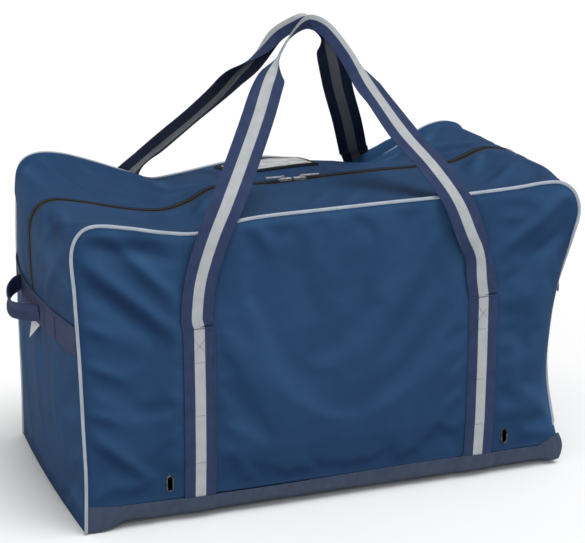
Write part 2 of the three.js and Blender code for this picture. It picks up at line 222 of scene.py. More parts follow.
# How full a panel is at a height, and how full it is from its left to its right edge.
FULL_UP = np.array([(0, 0.0), (45, 0.25), (120, 0.8), (230, 1.0), (340, 0.86), (440, 0.45), (545, 0.0)])
FULL_ALONG = np.array([(0, 0.0), (0.1, 0.28), (0.2, 0.72), (0.35, 0.95), (0.6, 1.0), (0.8, 0.9),
                       (0.93, 0.5), (1, 0.0)])
PANEL_FULLNESS = 13 * MM
SEAM_ROLL = 2.4 * MM  # how far the cloth stands out just inside its seam


def panel_depth(face, x, z):
    """Distance of a panel's smooth surface from the middle of the bag."""
    left, right, top = OUTLINES[face]
    low, high, lid = left(z), right(z), top(x)
    inside = np.minimum(np.minimum(x - low, high - x), np.minimum(lid - z, z + 30 * MM))
    along = (x - low) / (high - low)
    full = np.interp(z, FULL_UP[:, 0] * MM, FULL_UP[:, 1]) * np.interp(along, *FULL_ALONG.T)
    return HALF_DEPTH + SEAM_ROLL * smooth(inside, -2 * MM, 12 * MM) + PANEL_FULLNESS * full


# ---- Meshes ----


def new_object(name, vertices, faces, lay=None):
    """A smooth-shaded mesh. lay gives each point's place on the cloth, in metres."""
    mesh = bpy.data.meshes.new(name)
    mesh.from_pydata([tuple(v) for v in vertices], [], faces)
    mesh.polygons.foreach_set("use_smooth", [True] * len(mesh.polygons))
    if lay is not None:
        attribute = mesh.attributes.new("lay", "FLOAT_VECTOR", "POINT")
        attribute.data.foreach_set("vector", np.asarray(lay, np.float32).ravel())
    obj = bpy.data.objects.new(name, mesh)
    bpy.context.scene.collection.objects.link(obj)
    return obj


def grid_faces(rows, columns, wrap=False):
    """Quads over a grid of points. wrap joins the last column to the first."""
    faces = []
    for i in range(rows - 1):
        for j in range(columns if wrap else columns - 1):
            a = i * columns + j
            b = i * columns + (j + 1) % columns
            faces.append((a, b, b + columns, a + columns))
    return faces


def lay_of(points):
    """Place of each point of a grid on its cloth, measured along its rows and columns."""
    rows, columns = points.shape[:2]
    down = lengths(points[:, columns // 2])[:, None]
    across = lengths(points[rows // 2])[None, :]
    zero = np.zeros((rows, columns))
    return np.stack([down + zero, across + zero, zero], axis=-1)


def sheet_object(name, points, outward):
    """A cloth from a grid of points, its faces turned so that they look outward."""
    rows, columns = points.shape[:2]
    faces = grid_faces(rows, columns)
    obj = new_object(name, points.reshape(-1, 3), faces, lay_of(points).reshape(-1, 3))
    middle = obj.data.polygons[len(faces) // 2]
    if middle.normal.dot(Vector(outward)) < 0:
        obj.data.flip_normals()
    return obj


def grid_normals(points, outward):
    """Unit normals of a grid of points, on the side that outward points to at its middle."""
    normal = np.cross(np.gradient(points, axis=0), np.gradient(points, axis=1))
    normal /= np.maximum(np.linalg.norm(normal, axis=-1, keepdims=True), 1e-12)
    middle = normal[points.shape[0] // 2, points.shape[1] // 2]
    return normal if middle @ np.asarray(outward) > 0 else -normal


def tube_object(name, rings, lay):
    """A skin over rings of points, closed at both ends."""
    count, around = rings.shape[:2]
    faces = grid_faces(count, around, wrap=True)
    faces.append(tuple(range(around))[::-1])
    faces.append(tuple(range((count - 1) * around, count * around)))
    return new_object(name, rings.reshape(-1, 3), faces, lay.reshape(-1, 3))


def frames_along(points, across):
    """Unit vectors across a line and outward from it, at each of its points."""
    tangent = np.gradient(points, axis=0)
    tangent /= np.linalg.norm(tangent, axis=1, keepdims=True)
    across = across - np.sum(across * tangent, axis=1, keepdims=True) * tangent
    across /= np.linalg.norm(across, axis=1, keepdims=True)
    return across, np.cross(across, tangent)


def apply_modifiers(obj):
    """Turns what the modifiers show into the mesh itself."""
    bpy.context.view_layer.update()
    graph = bpy.context.evaluated_depsgraph_get()
    mesh = bpy.data.meshes.new_from_object(obj.evaluated_get(graph), preserve_all_data_layers=True,
                                           depsgraph=graph)
    obj.modifiers.clear()
    old = obj.data
    obj.data = mesh
    bpy.data.meshes.remove(old)
    return obj


def note_painted_light(obj):
    """Painted light and shade: marks how much each point of a cloth faces up, against its shape with no
    folds, from 0 to 1.
    """
    normals = np.empty(len(obj.data.vertices) * 3)
    obj.data.vertex_normals.foreach_get("vector", normals)
    facing = normals.reshape(-1, 3) @ np.array(PAINTED_LIGHT_WAY)
    painted_light = np.clip(0.5 + PAINTED_LIGHT_GAIN * (facing - plain_facing[obj.name]), 0, 1)
    mark = obj.data.attributes.new("painted_light", "FLOAT", "POINT")
    mark.data.foreach_set("value", painted_light.astype(np.float32))


def thicken(obj, thickness, lining=None, smooth_steps=1):
    """Subdivides a cloth and gives it its thickness inwards, with a lining where one is given."""
    if smooth_steps:
        finer = obj.modifiers.new("finer", "SUBSURF")
        finer.levels = smooth_steps
        finer.render_levels = smooth_steps
        finer.boundary_smooth = "PRESERVE_CORNERS"
    solid = obj.modifiers.new("solid", "SOLIDIFY")
    solid.thickness = thickness
    solid.offset = -1
    solid.use_even_offset = False
    if lining is not None:
        obj.data.materials.append(lining)
        solid.material_offset = 1
    return sharpen(apply_modifiers(obj))


def sharpen(obj, degrees=50):
    obj.data.set_sharp_from_angle(angle=math.radians(degrees))
    return obj


def rounded(obj, width):
    """Rounds an object's edges."""
    bevel = obj.modifiers.new("bevel", "BEVEL")
    bevel.width = width
    bevel.segments = 2
    bevel.limit_method = "ANGLE"
    return sharpen(apply_modifiers(obj), 40)


def joined(name, parts):
    """One mesh from a list of (vertices, faces)."""
    vertices, faces = [], []
    for points, quads in parts:
        start = len(vertices)
        vertices.extend(points)
        faces.extend(tuple(start + i for i in face) for face in quads)
    return new_object(name, vertices, faces, vertices)


# ---- Materials ----


class Shade:
    """A procedural material on one Principled shader, built with short calls."""

    def __init__(self, name, color, roughness, **sockets):
        self.material = bpy.data.materials.new(name)
        self.material.use_nodes = True
        self.tree = self.material.node_tree
        self.shader = self.tree.nodes["Principled BSDF"]
        self.shader.inputs["Base Color"].default_value = (*linear(color), 1)
        self.shader.inputs["Roughness"].default_value = roughness
        for socket, value in sockets.items():
            self.shader.inputs[socket.replace("_", " ")].default_value = value
        self.relief = None

    def node(self, kind, **values):
        made = self.tree.nodes.new("ShaderNode" + kind)
        for key, value in values.items():
            setattr(made, key, value)
        return made

    def wire(self, value, socket):
        if isinstance(value, bpy.types.NodeSocket):
            self.tree.links.new(value, socket)
        else:
            socket.default_value = value

    def math(self, operation, *values):
        made = self.node("Math", operation=operation)
        for value, socket in zip(values, made.inputs):
            self.wire(value, socket)
        return made.outputs[0]

    def lay(self):
        """The point's place along and across its cloth, and the two together as a vector."""
        place = self.node("Attribute", attribute_name="lay")
        parts = self.node("SeparateXYZ")
        self.wire(place.outputs["Vector"], parts.inputs[0])
        return parts.outputs[0], parts.outputs[1], place.outputs["Vector"]

    def underside(self):
        """1 on the inner face of webbing and 0 on its outer face."""
        parts = self.lay()[0].node
        return parts.outputs[2]

    def noise(self, vector, size, detail=3.0, stretch=(1, 1, 1)):
        """Noise from 0 to 1 whose features are about that many metres across."""
        scaled = self.node("Mapping")
        scaled.inputs["Scale"].default_value = stretch
        self.wire(vector, scaled.inputs["Vector"])
        made = self.node("TexNoise")
        made.inputs["Scale"].default_value = 1 / size
        made.inputs["Detail"].default_value = detail
        self.wire(scaled.outputs[0], made.inputs["Vector"])
        return made.outputs["Fac"]

    def wave(self, value, pitch):
        """A sine from -1 to 1 that repeats every pitch metres."""
        return self.math("SINE", self.math("MULTIPLY", value, 2 * math.pi / pitch))

    def ramp(self, factor, *stops):
        """Colours by factor, from (position, hex colour) stops."""
        made = self.node("ValToRGB")
        ramp = made.color_ramp
        while len(ramp.elements) < len(stops):
            ramp.elements.new(0.5)
        for element, (position, color) in zip(ramp.elements, stops):
            element.position = position
            element.color = (*linear(color), 1)
        self.wire(factor, made.inputs[0])
        return made.outputs[0]

    def mix(self, factor, first, second, blend="MIX"):
        made = self.node("Mix", data_type="RGBA", blend_type=blend)
        self.wire(factor, made.inputs["Factor"])
        self.wire(first, made.inputs[6])
        self.wire(second, made.inputs[7])
        return made.outputs[2]

    def color(self, value):
        self.wire(value, self.shader.inputs["Base Color"])

    def roughness(self, factor, low, high):
        made = self.node("MapRange")
        made.inputs["To Min"].default_value = low
        made.inputs["To Max"].default_value = high
        self.wire(factor, made.inputs["Value"])
        self.wire(made.outputs[0], self.shader.inputs["Roughness"])

    def bump(self, height, distance, strength=1.0):
        made = self.node("Bump")
        made.inputs["Distance"].default_value = distance
        made.inputs["Strength"].default_value = strength
        self.wire(height, made.inputs["Height"])
        if self.relief is not None:
            self.wire(self.relief, made.inputs["Normal"])
        self.relief = made.outputs[0]
        self.wire(self.relief, self.shader.inputs["Normal"])


def linear(color):
    """An sRGB hex colour as linear numbers."""
    channels = [int(color[i:i + 2], 16) / 255 for i in (1, 3, 5)]
    return tuple(c / 12.92 if c <= 0.04045 else ((c + 0.055) / 1.055) ** 2.4 for c in channels)


def woven_cloth(name, deep, middle, light, roughness):
    """Coated oxford polyester: a fine basket weave, slack here and there, with painted light where it
    faces up and painted shade where it faces down.
    """
    shade = Shade(name, middle, roughness, Specular_IOR_Level=0.03)
    along, across, place = shade.lay()
    weave = shade.math("MULTIPLY", shade.wave(along, 1.3 * MM), shade.wave(across, 1.3 * MM))
    patches = shade.noise(place, 70 * MM, 4.0)
    # Painted light and shade: cloth that faces up against its plain shape is painted paler, cloth that
    # faces down darker.
    painted_light = shade.node("Attribute", attribute_name="painted_light").outputs["Fac"]
    patches_and_painted_light = shade.math("MULTIPLY_ADD", patches, 0.2, shade.math("MULTIPLY", painted_light, 0.8))
    tone = shade.ramp(patches_and_painted_light, (0.2, deep), (0.5, middle), (0.8, light))
    thread = shade.math("MULTIPLY_ADD", weave, 0.08, 0.92)
    fleck = shade.noise(place, 0.9 * MM, 1.0)
    grey = shade.math("MULTIPLY", thread, shade.math("MULTIPLY_ADD", fleck, 0.16, 0.92))
    dark = shade.node("CombineColor")
    for socket in dark.inputs[:3]:
        shade.wire(grey, socket)
    shade.color(shade.mix(1.0, tone, dark.outputs[0], "MULTIPLY"))
    shade.roughness(patches, roughness - 0.06, roughness + 0.1)
    shade.bump(shade.noise(place, 28 * MM, 3.0), 2.2 * MM, 0.45)
    shade.bump(shade.noise(place, 7 * MM, 2.0), 0.5 * MM, 0.35)
    shade.bump(weave, 0.12 * MM, 0.5)
    return shade.material


def ribbed_webbing(name, deep, light, stripe=None):
    """Polyester webbing: ribs along it, picks across it, and for the straps a woven pale stripe and
    painted shade on the inner face.
    """
    shade = Shade(name, light, 0.75, Specular_IOR_Level=0.2)
    along, across, place = shade.lay()
    rib = shade.math("ABSOLUTE", shade.wave(across, 3.6 * MM))
    pick = shade.math("ABSOLUTE", shade.wave(along, 2.4 * MM))
    weave = shade.math("MULTIPLY", rib, shade.math("MULTIPLY_ADD", pick, 0.5, 0.5))
    worn = shade.noise(place, 22 * MM, 4.0)
    body = shade.ramp(shade.math("MULTIPLY_ADD", weave, 0.4, shade.math("MULTIPLY", worn, 0.6)),
                      (0.2, deep), (0.75, light))
    if stripe:
        jitter = shade.math("MULTIPLY", shade.wave(along, 4.8 * MM), 0.35 * MM)
        away = shade.math("SUBTRACT", shade.math("ABSOLUTE", across), STRIPE_HALF)
        inside = shade.math("LESS_THAN", shade.math("ADD", away, jitter), 0.0)
        pale = shade.ramp(shade.math("MULTIPLY_ADD", weave, 0.35, shade.math("MULTIPLY", worn, 0.55)),
                          (0.15, stripe[0]), (0.7, stripe[1]))
        body = shade.mix(inside, body, pale)
        # Painted shade: the inner face of the straps is darkened towards near black.
        body = shade.mix(shade.math("MULTIPLY", shade.underside(), 0.66), body, (*linear("#07080d"), 1))
    shade.color(body)
    shade.bump(worn, 0.6 * MM, 0.3)
    shade.bump(weave, 0.35 * MM, 0.7)
    return shade.material


def coated_vinyl(name, deep, light, roughness, grain=1.6 * MM, gloss=0.5):
    """Vinyl-coated cloth with a fine leather grain and scuffs."""
    shade = Shade(name, light, roughness, Specular_IOR_Level=gloss)
    place = shade.lay()[2]
    scuffs = shade.noise(place, 35 * MM, 6.0, (1, 2.5, 1))
    shade.color(shade.ramp(scuffs, (0.3, deep), (0.7, light)))
    shade.roughness(scuffs, roughness - 0.08, roughness + 0.12)
    cells = shade.node("TexVoronoi")
    cells.inputs["Scale"].default_value = 1 / grain
    shade.wire(place, cells.inputs["Vector"])
    shade.bump(shade.noise(place, 14 * MM, 3.0), 1.2 * MM, 0.35)
    shade.bump(cells.outputs["Distance"], 0.18 * MM, 0.5)
    return shade.material


def twill(name, deep, light):
    """Black zip tape: a fine slanted rib."""
    shade = Shade(name, light, 0.75)
    along, across, place = shade.lay()
    slant = shade.wave(shade.math("ADD", along, across), 1.2 * MM)
    shade.color(shade.ramp(shade.noise(place, 9 * MM, 3.0), (0.3, deep), (0.7, light)))
    shade.bump(slant, 0.15 * MM, 0.6)
    return shade.material


def worn_metal(name, color, dull, roughness):
    """Plated metal with a little tarnish and fine scratches."""
    shade = Shade(name, color, roughness, Metallic=1.0)
    place = shade.lay()[2]
    tarnish = shade.noise(place, 5 * MM, 4.0)
    scratches = shade.noise(place, 1.5 * MM, 3.0, (1, 9, 1))
    shade.color(shade.ramp(tarnish, (0.35, dull), (0.6, color)))
    shade.roughness(scratches, roughness - 0.08, roughness + 0.18)
    shade.bump(scratches, 0.05 * MM, 0.4)
    return shade.material


def plain_grain(name, deep, light, roughness, size=2 * MM, relief=0.1 * MM, **sockets):
    """A moulded, printed or spun surface with fine grain."""
    shade = Shade(name, light, roughness, **sockets)
    place = shade.lay()[2]
    grain = shade.noise(place, size, 4.0)
    shade.color(shade.ramp(grain, (0.3, deep), (0.7, light)))
    shade.bump(grain, relief, 0.6)
    return shade.material


def make_floor_material():
    shade = Shade("floor_paint", "#f2f2f2", 0.9)
    coordinates = shade.node("TexCoord")
    mottle = shade.noise(coordinates.outputs["Object"], 0.6, 2.0)
    shade.color(shade.ramp(mottle, (0.3, "#f0f0f0"), (0.7, "#f4f4f4")))
    return shade.material


# The deep, middle and light blues are shaded and lit copies of one cloth colour, picked mostly by
# painted light and shade and a little by random patches.
CLOTH_BLUE = woven_cloth("panel_cloth", "#1d3253", "#284467", "#35577d", 0.62)
LINING = plain_grain("lining", "#191b1f", "#22252a", 0.7, 3 * MM, 0.2 * MM)
VINYL = coated_vinyl("base_vinyl", "#2e394d", "#3a475d", 0.5, gloss=0.25)
STRAP = ribbed_webbing("strap_webbing", "#1f2b48", "#303f63", ("#969b9f", "#b6babd"))
BANDING = ribbed_webbing("band_webbing", "#1f2948", "#333e60")
PIPING = coated_vinyl("piping_vinyl", "#8d98a4", "#a5aeb8", 0.42, 1.1 * MM)
ZIP_TAPE = twill("zip_tape", "#131417", "#202226")
ZIP_COIL = plain_grain("zip_coil", "#16171a", "#26282c", 0.4)
GUNMETAL = worn_metal("eyelet_metal", "#5a5e64", "#33363b", 0.35)
NICKEL = worn_metal("slider_metal", "#dfe1e2", "#b9bcbf", 0.34)
BINDING = ribbed_webbing("window_binding", "#0e0f12", "#1b1d21")
CARD = plain_grain("card_paper", "#d5d8da", "#eceded", 0.9, 12 * MM, 0.5 * MM)
LABEL = plain_grain("label_cloth", "#c3c7cc", "#d3d6da", 0.8, 6 * MM, 0.3 * MM)
THREAD_NAVY = plain_grain("thread_navy", "#1b1f3c", "#2a3056", 0.6, 1 * MM, 0.1 * MM)
THREAD_BLUE = plain_grain("thread_blue", "#1f3a5a", "#2b4c72", 0.6, 1 * MM, 0.1 * MM)
# Painted shade: a matte near-black sheet that stands for the dark inside of the bag behind each vent.
VENT_SHADE_SHEET = plain_grain("vent_painted_shade", "#010101", "#020202", 0.95, 1.5 * MM, 0.3 * MM,
                        Specular_IOR_Level=0.0)
FILM = plain_grain("window_film", "#f2f5f7", "#ffffff", 0.12, 30 * MM, 1.0 * MM,
                   Transmission_Weight=0.92, IOR=1.25)

# ---- Folds ----

SEEDS = {"front": 3, "back": 5, "top_front": 11, "top_back": 17, "left": 23, "right": 29}
# Folds of the cloth: where each starts and ends, its half width and how far it stands out.
# A negative height is a hollow.
PANEL_FOLD_SHARE = 0.75  # the panels' folds stand out by this much of the heights given here
PANEL_FOLDS = [
    ((-430, -255, 540), (-305, -255, 400), 17, 9),
    ((-470, -255, 492), (-312, -255, 350), 20, 8),
    ((-455, -255, 512), (-320, -255, 482), 22, -9),
    ((-470, -255, 452), (-330, -255, 330), 26, -8),
    ((-480, -255, 385), (-420, -255, 350), 10, 5),
    ((-474, -255, 311), (-400, -255, 275), 9, 5),
    ((-471, -255, 225), (-410, -255, 200), 8, 4),
    ((-470, -255, 188), (-345, -255, 80), 16, 6),
    ((-164, -255, 528), (-135, -255, 470), 13, 4),
    ((-150, -255, 275), (-160, -255, 232), 10, 2.5),
    ((450, -255, 535), (300, -255, 425), 20, 7),
    ((455, -255, 480), (330, -255, 380), 22, -5),
    ((400, -255, 345), (398, -255, 130), 16, 4),
    ((352, -255, 330), (350, -255, 150), 14, -3),
    ((445, -255, 60), (380, -255, 150), 12, 5),
    ((-312, -255, 420), (-312, -255, 110), 45, 7),
    ((222, -255, 500), (244, -255, 380), 17, -15),
    ((-150, -255, 480), (150, -255, 470), 60, 6),
]
GUSSET_FOLDS = [
    ((-430, 230, 560), (-320, -30, 515), 20, 9),
    ((-395, 240, 560), (-290, 40, 505), 18, 8),
    ((-360, 240, 552), (-262, 90, 505), 14, 6),
    ((-410, 200, 545), (-305, -20, 515), 16, -7),
    ((-300, -120, 512), (-285, -30, 500), 24, -6),
    ((-232, 230, 505), (-200, 60, 515), 12, 6),
    ((-470, -180, 520), (-330, -120, 520), 16, 4),
    ((-60, -225, 538), (30, -100, 534), 9, 3),
    ((0, -230, 538), (80, -120, 536), 8, 3),
    ((120, -225, 541), (180, -140, 540), 8, 3),
    ((290, 220, 505), (395, 40, 560), 22, 8),
    ((300, -200, 545), (420, -100, 555), 16, 5),
    ((300, 40, 535), (345, -60, 545), 18, -5),
    ((-487, 3, 276), (-482, -12, 90), 14, 5),
    ((-487, -130, 290), (-480, -140, 60), 16, 5),
    ((-487, -80, 260), (-482, -85, 100), 13, -4),
    ((-487, 120, 290), (-480, 110, 60), 18, 5),
    ((-494, 60, 470), (-490, 45, 360), 14, 4),
    ((-490, -190, 480), (-488, -90, 360), 15, 5),
    ((487, 3, 276), (475, -12, 90), 14, 5),
    ((487, -130, 290), (470, -140, 60), 16, 5),
    ((487, 120, 290), (470, 110, 60), 18, 5),
    ((488, -180, 480), (486, -90, 360), 15, 5),
]


def fold_height(points, folds):
    """How far the folds push each point outwards."""
    height = np.zeros(points.shape[:-1])
    for start, end, width, rise in folds:
        start = np.array(start) * MM
        reach = np.array(end) * MM - start
        along = np.clip(((points - start) @ reach) / (reach @ reach), 0, 1)
        away = np.linalg.norm(points - start - along[..., None] * reach, axis=-1)
        taper = np.sin(math.pi * (0.12 + 0.8 * along))
        height += rise * MM * taper / (1 + (away / (width * MM)) ** 2) ** 2
    return height


def mirrored(folds):
    """The same folds at the back, the other way round."""
    return [((-a[0], -a[1], a[2]), (-b[0], -b[1], b[2]), width, rise) for a, b, width, rise in folds]


def crumple_height(points, size, height, seed):
    """Small soft creases all over, as stiff coated cloth has."""
    shift = Vector((seed * 7.3, seed * 3.1, seed * 5.7))
    flat = points.reshape(-1, 3)
    values = []
    for point in flat:
        place = Vector(point) / size + shift
        crease = 1 - abs(noise.noise(place)) * 2
        values.append(crease ** 3 * 0.6 + noise.noise(place * 0.4) * 0.8)
    return height * np.array(values).reshape(points.shape[:-1])


def near_seam(points):
    """0 at the edges of a grid and 1 from SEAM_FREE inside them."""
    lay = lay_of(points)
    down, across = lay[..., 0], lay[..., 1]
    edge = np.minimum(np.minimum(down, down[-1:] - down), np.minimum(across, across[:, -1:] - across))
    return smooth(edge, 0, SEAM_FREE)


# ---- Cloth that settles ----

SETTLE_FRAMES = 24
SETTLE_CAP = 3.5 * MM  # the furthest that a point may move
CLOTH_SETTINGS = {
    "quality": 5,
    "mass": 0.2,
    "tension_stiffness": 30,
    "compression_stiffness": 30,
    "shear_stiffness": 18,
    "bending_stiffness": 4,
    "air_damping": 2,
    "shrink_min": -0.004,  # it grows a little, so that it buckles
    "vertex_group_mass": "held",
}
settling = []  # each cloth with how firmly its points are held
plain_facing = {}  # how far each point of a cloth would face the painted light's way if it had no folds


def will_settle(obj, held, plain):
    """Notes a cloth to simulate, how firmly its points are held, and its normals with no folds."""
    settling.append((obj, np.asarray(held, float).ravel()))
    plain_facing[obj.name] = (plain @ np.array(PAINTED_LIGHT_WAY)).ravel()
    return obj


def places(mesh):
    """The places of a mesh's points, as rows of three."""
    flat = np.empty(len(mesh.vertices) * 3)
    mesh.vertices.foreach_get("co", flat)
    return flat.reshape(-1, 3)


def settle_all():
    """Lets the noted cloths buckle under their own weight, and keeps where they come to lie."""
    scene = bpy.context.scene
    for obj, held in settling:
        group = obj.vertex_groups.new(name="held")
        levels = np.round(held, 1)
        for level in np.unique(levels):
            group.add(np.flatnonzero(levels == level).tolist(), float(level), "REPLACE")
        cloth = obj.modifiers.new("settle", "CLOTH")
        for setting, value in CLOTH_SETTINGS.items():
            setattr(cloth.settings, setting, value)
        cloth.settings.effector_weights.gravity = 0.1
        cloth.collision_settings.use_collision = False
        cloth.point_cache.frame_start = 1
        cloth.point_cache.frame_end = SETTLE_FRAMES
    for step in range(1, SETTLE_FRAMES + 1):
        scene.frame_set(step)
    graph = bpy.context.evaluated_depsgraph_get()
    for obj, held in settling:
        start = places(obj.data)
        move = places(obj.evaluated_get(graph).data) - start
        size = np.linalg.norm(move, axis=1, keepdims=True)
        move *= np.minimum(1, SETTLE_CAP / np.maximum(size, 1e-9))
        move *= (1 - held)[:, None]
        obj.modifiers.clear()
        obj.vertex_groups.clear()
        obj.data.vertices.foreach_set("co", (start + move).ravel())
        obj.data.update()
    scene.frame_set(1)


# ---- Shell ----


def flap_blend(obj):
    """Bakes an object's transform into its mesh."""
    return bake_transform(obj)


def piece(obj, material, body=None, replaces=()):
    """Gives a finished piece its material, slot and body."""
    if not obj.data.materials:
        obj.data.materials.append(material)
    if body:
        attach(obj, body)
    if replaces:
        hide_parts(*replaces)
    return obj


def seam_run(edge, t0, t1, count):
    """That many points along a seam, the same distance apart."""
    fine = np.linspace(t0, t1, 3000)
    along = lengths(spline(edge, fine))
    return spline(edge, np.interp(np.linspace(0, along[-1], count), along, fine))


def panel_points(face):
    """The front or back panel as a grid of points between its four edges."""
    edge = STATIONS[:, LINES[face]]
    t = np.linspace(0, LAST, 4000)
    z = spline(edge, t)[:, 1]
    start = t[np.argmax(z > BASE_SEAM)]
    stop = t[len(t) - 1 - np.argmax(z[::-1] > BASE_SEAM)]
    columns = len(evenly(edge, *CORNERS, CLOTH_STEP))
    rows = len(evenly(edge, start, CORNERS[0], CLOTH_STEP))
    left = seam_run(edge, start, CORNERS[0], rows)
    top = seam_run(edge, *CORNERS, columns)
    right = seam_run(edge, CORNERS[1], stop, rows)[::-1]
    u = np.linspace(0, 1, columns)
    v = np.linspace(0, 1, rows)
    bottom = left[0] + u[:, None] * (right[0] - left[0])
    u, v = u[None, :, None], v[:, None, None]
    flat = (1 - v) * bottom[None] + v * top[None] + (1 - u) * left[:, None] + u * right[:, None]
    flat -= (1 - v) * (1 - u) * bottom[0] + (1 - v) * u * bottom[-1]
    flat -= v * (1 - u) * top[0] + v * u * top[-1]
    x, z = flat[..., 0], flat[..., 1]
    return np.stack([x, SIDES[face] * panel_depth(face, x, z), z], axis=-1)


def under_strap(points):
    """1 where a strap is sewn on and 0 well away from it."""
    x, z = np.abs(points[..., 0]), points[..., 2]
    beside = 1 - smooth(np.abs(x - STRAP_X), STRAP_WIDTH * 0.48, STRAP_WIDTH * 0.75)
    return beside * (1 - smooth(z, ANCHOR, ANCHOR + 30 * MM))


def behind_handle(points):
    """1 where the loose handles hang in front of a panel and 0 well away from there."""
    x, z = np.abs(points[..., 0]), points[..., 2]
    beside = 1 - smooth(np.abs(x - 250 * MM), 40 * MM, 75 * MM)
    return beside * smooth(z, ANCHOR - 20 * MM, ANCHOR)


def near_vent(points):
    """1 round the vent eyelets, where the panel stays flat, and 0 away from them."""
    away = np.hypot(np.abs(points[..., 0]) - VENT[0], points[..., 2] - VENT[1])
    return 1 - smooth(away, 18 * MM, 34 * MM)


def puffed(points):
    """The back panel stands up over its own seam, by up to 44 mm, where the top sags at the right."""
    x, z = points[..., 0], points[..., 2]
    below = np.clip((OUTLINES["back"][2](x) - z) / (100 * MM), 0, 1)
    lift = 137 * MM * np.sqrt(below) * (1 - below) ** 1.5
    shift = np.stack([0 * x, 8 * MM * np.sin(math.pi * below), lift], axis=-1)
    return points + between(x, 185 * MM, 265 * MM, 300 * MM, 400 * MM)[..., None] * shift


def make_panel(face):
    """The front or the back panel's cloth, with its folds."""
    outward = (0, SIDES[face], 0)
    points = panel_points(face)
    loose = near_seam(points) * (1 - under_strap(points)) * (1 - near_vent(points))
    folds = PANEL_FOLDS if face == "front" else mirrored(PANEL_FOLDS)
    height = PANEL_FOLD_SHARE * fold_height(points, folds)
    height += crumple_height(points, 75 * MM, 0.8 * MM, SEEDS[face])
    if face == "back":
        points = puffed(points)
    points = wrapped(points + grid_normals(points, outward) * (height * loose)[..., None])
    panel = sheet_object(f"{face}_panel_cloth", points, outward)
    panel.data.materials.append(CLOTH_BLUE)
    level = np.broadcast_to(np.array(outward, float), points.shape)
    return will_settle(panel, np.maximum(1 - loose, behind_handle(points)), level)


def finish_cloth(obj, body, nodes):
    """Gives a cloth of the shell, once it has settled, its painted light and shade, thickness, lining
    and body.
    """
    note_painted_light(obj)
    thicken(obj, CLOTH, LINING)
    piece(obj, CLOTH_BLUE, body, nodes)


def gusset_cloth(name, t0, t1, y0, y1, seed, outward):
    """A stretch of the gusset's cloth, with its folds and a soft roll over the back seam."""
    t = evenly(STATIONS[:, MIDDLE], t0, t1, CLOTH_STEP)
    y = np.linspace(y0, y1, max(2, round((y1 - y0) / CLOTH_STEP)) + 1)
    points = gusset(t, y)
    reach, z = np.abs(points[..., 0]), points[..., 2]
    in_band = (reach > 440 * MM) & (z > BAND[0] - 6 * MM) & (z < BAND[1] + 6 * MM)
    loose = near_seam(points) * (1 - in_band) * (1 - near_window(points))
    height = fold_height(points, GUSSET_FOLDS) + crumple_height(points, 55 * MM, 1.8 * MM, seed)
    plain = grid_normals(points, outward)
    roll = 6 * MM * np.exp(-((points[..., 1] - 236 * MM) / (10 * MM)) ** 2)
    roll = roll * smooth(z, 470 * MM, 500 * MM) * smooth(reach, 190 * MM, 240 * MM)
    points = wrapped(points + plain * (height * loose + roll)[..., None])
    cloth = sheet_object(name, points, outward)
    cloth.data.materials.append(CLOTH_BLUE)
    return will_settle(cloth, 1 - loose, plain)


WINDOW_X = (-86 * MM, 90 * MM)
WINDOW_Y = (95 * MM, 205 * MM)
WINDOW_BORDER = 8 * MM


def near_window(points):
    """1 under the ID window and 0 away from it."""
    x, y, z = (points[..., axis] for axis in range(3))
    out = np.maximum(np.maximum(WINDOW_X[0] - x, x - WINDOW_X[1]),
                     np.maximum(WINDOW_Y[0] - y, y - WINDOW_Y[1]))
    return (1 - smooth(out, 2 * MM, 30 * MM)) * (z > 400 * MM)


def make_half(face):
    """One half of the top with both upper ends, from the zip to the seam."""
    edges = sorted(SIDES[face] * edge for edge in (TAPE + COIL_GAP, HALF_DEPTH))
    return gusset_cloth(f"top_cloth_{face}", *BAND_AT, *edges, SEEDS[f"top_{face}"], (0, 0, 1))


def finish_half(cloth, face):
    """The finished half of the top."""
    ends = [f"{end}_end_upper_{face}" for end in ("left", "right")]
    finish_cloth(cloth, None, [f"top_flap_{face}", *ends])
    flap_blend(cloth)


def make_lower_end(end):
    """The cloth of an end, from the base to the band."""
    span = (0, BAND_AT[0]) if end == "left" else (BAND_AT[1], LAST)
    outward = (SIDES[end], 0, 0)
    return gusset_cloth(f"{end}_end_cloth", *span, -HALF_DEPTH, HALF_DEPTH, SEEDS[end], outward)


BASE_ROUND = 46 * MM  # radius of the base's long edges
BASE_ROUND_CORNER = 9 * MM  # the same at the corners
BASE_THICK = 1.1 * MM
BASE_LIFT = 1.2 * MM  # the vinyl lies over the cloth


def base_edge(face, step):
    """Where a line along the base starts and ends in X, step rows out from the lip's upper edge."""
    if step < 1:
        low, high = (OUTLINES[face][end](BASE_SEAM * (1 - step)) for end in (0, 1))
        bulge = 6 * MM * math.sin(math.pi * step) if face == "front" else -2 * MM
        return low + 2 * MM, high - MM + bulge
    share = 1.0 if step <= 2 else abs((step - 2) * 2 - 1)
    ends = STATIONS[[0, LAST]]
    return ends[:, MIDDLE, 0] + share ** 2 * (ends[:, LINES[face], 0] - ends[:, MIDDLE, 0])


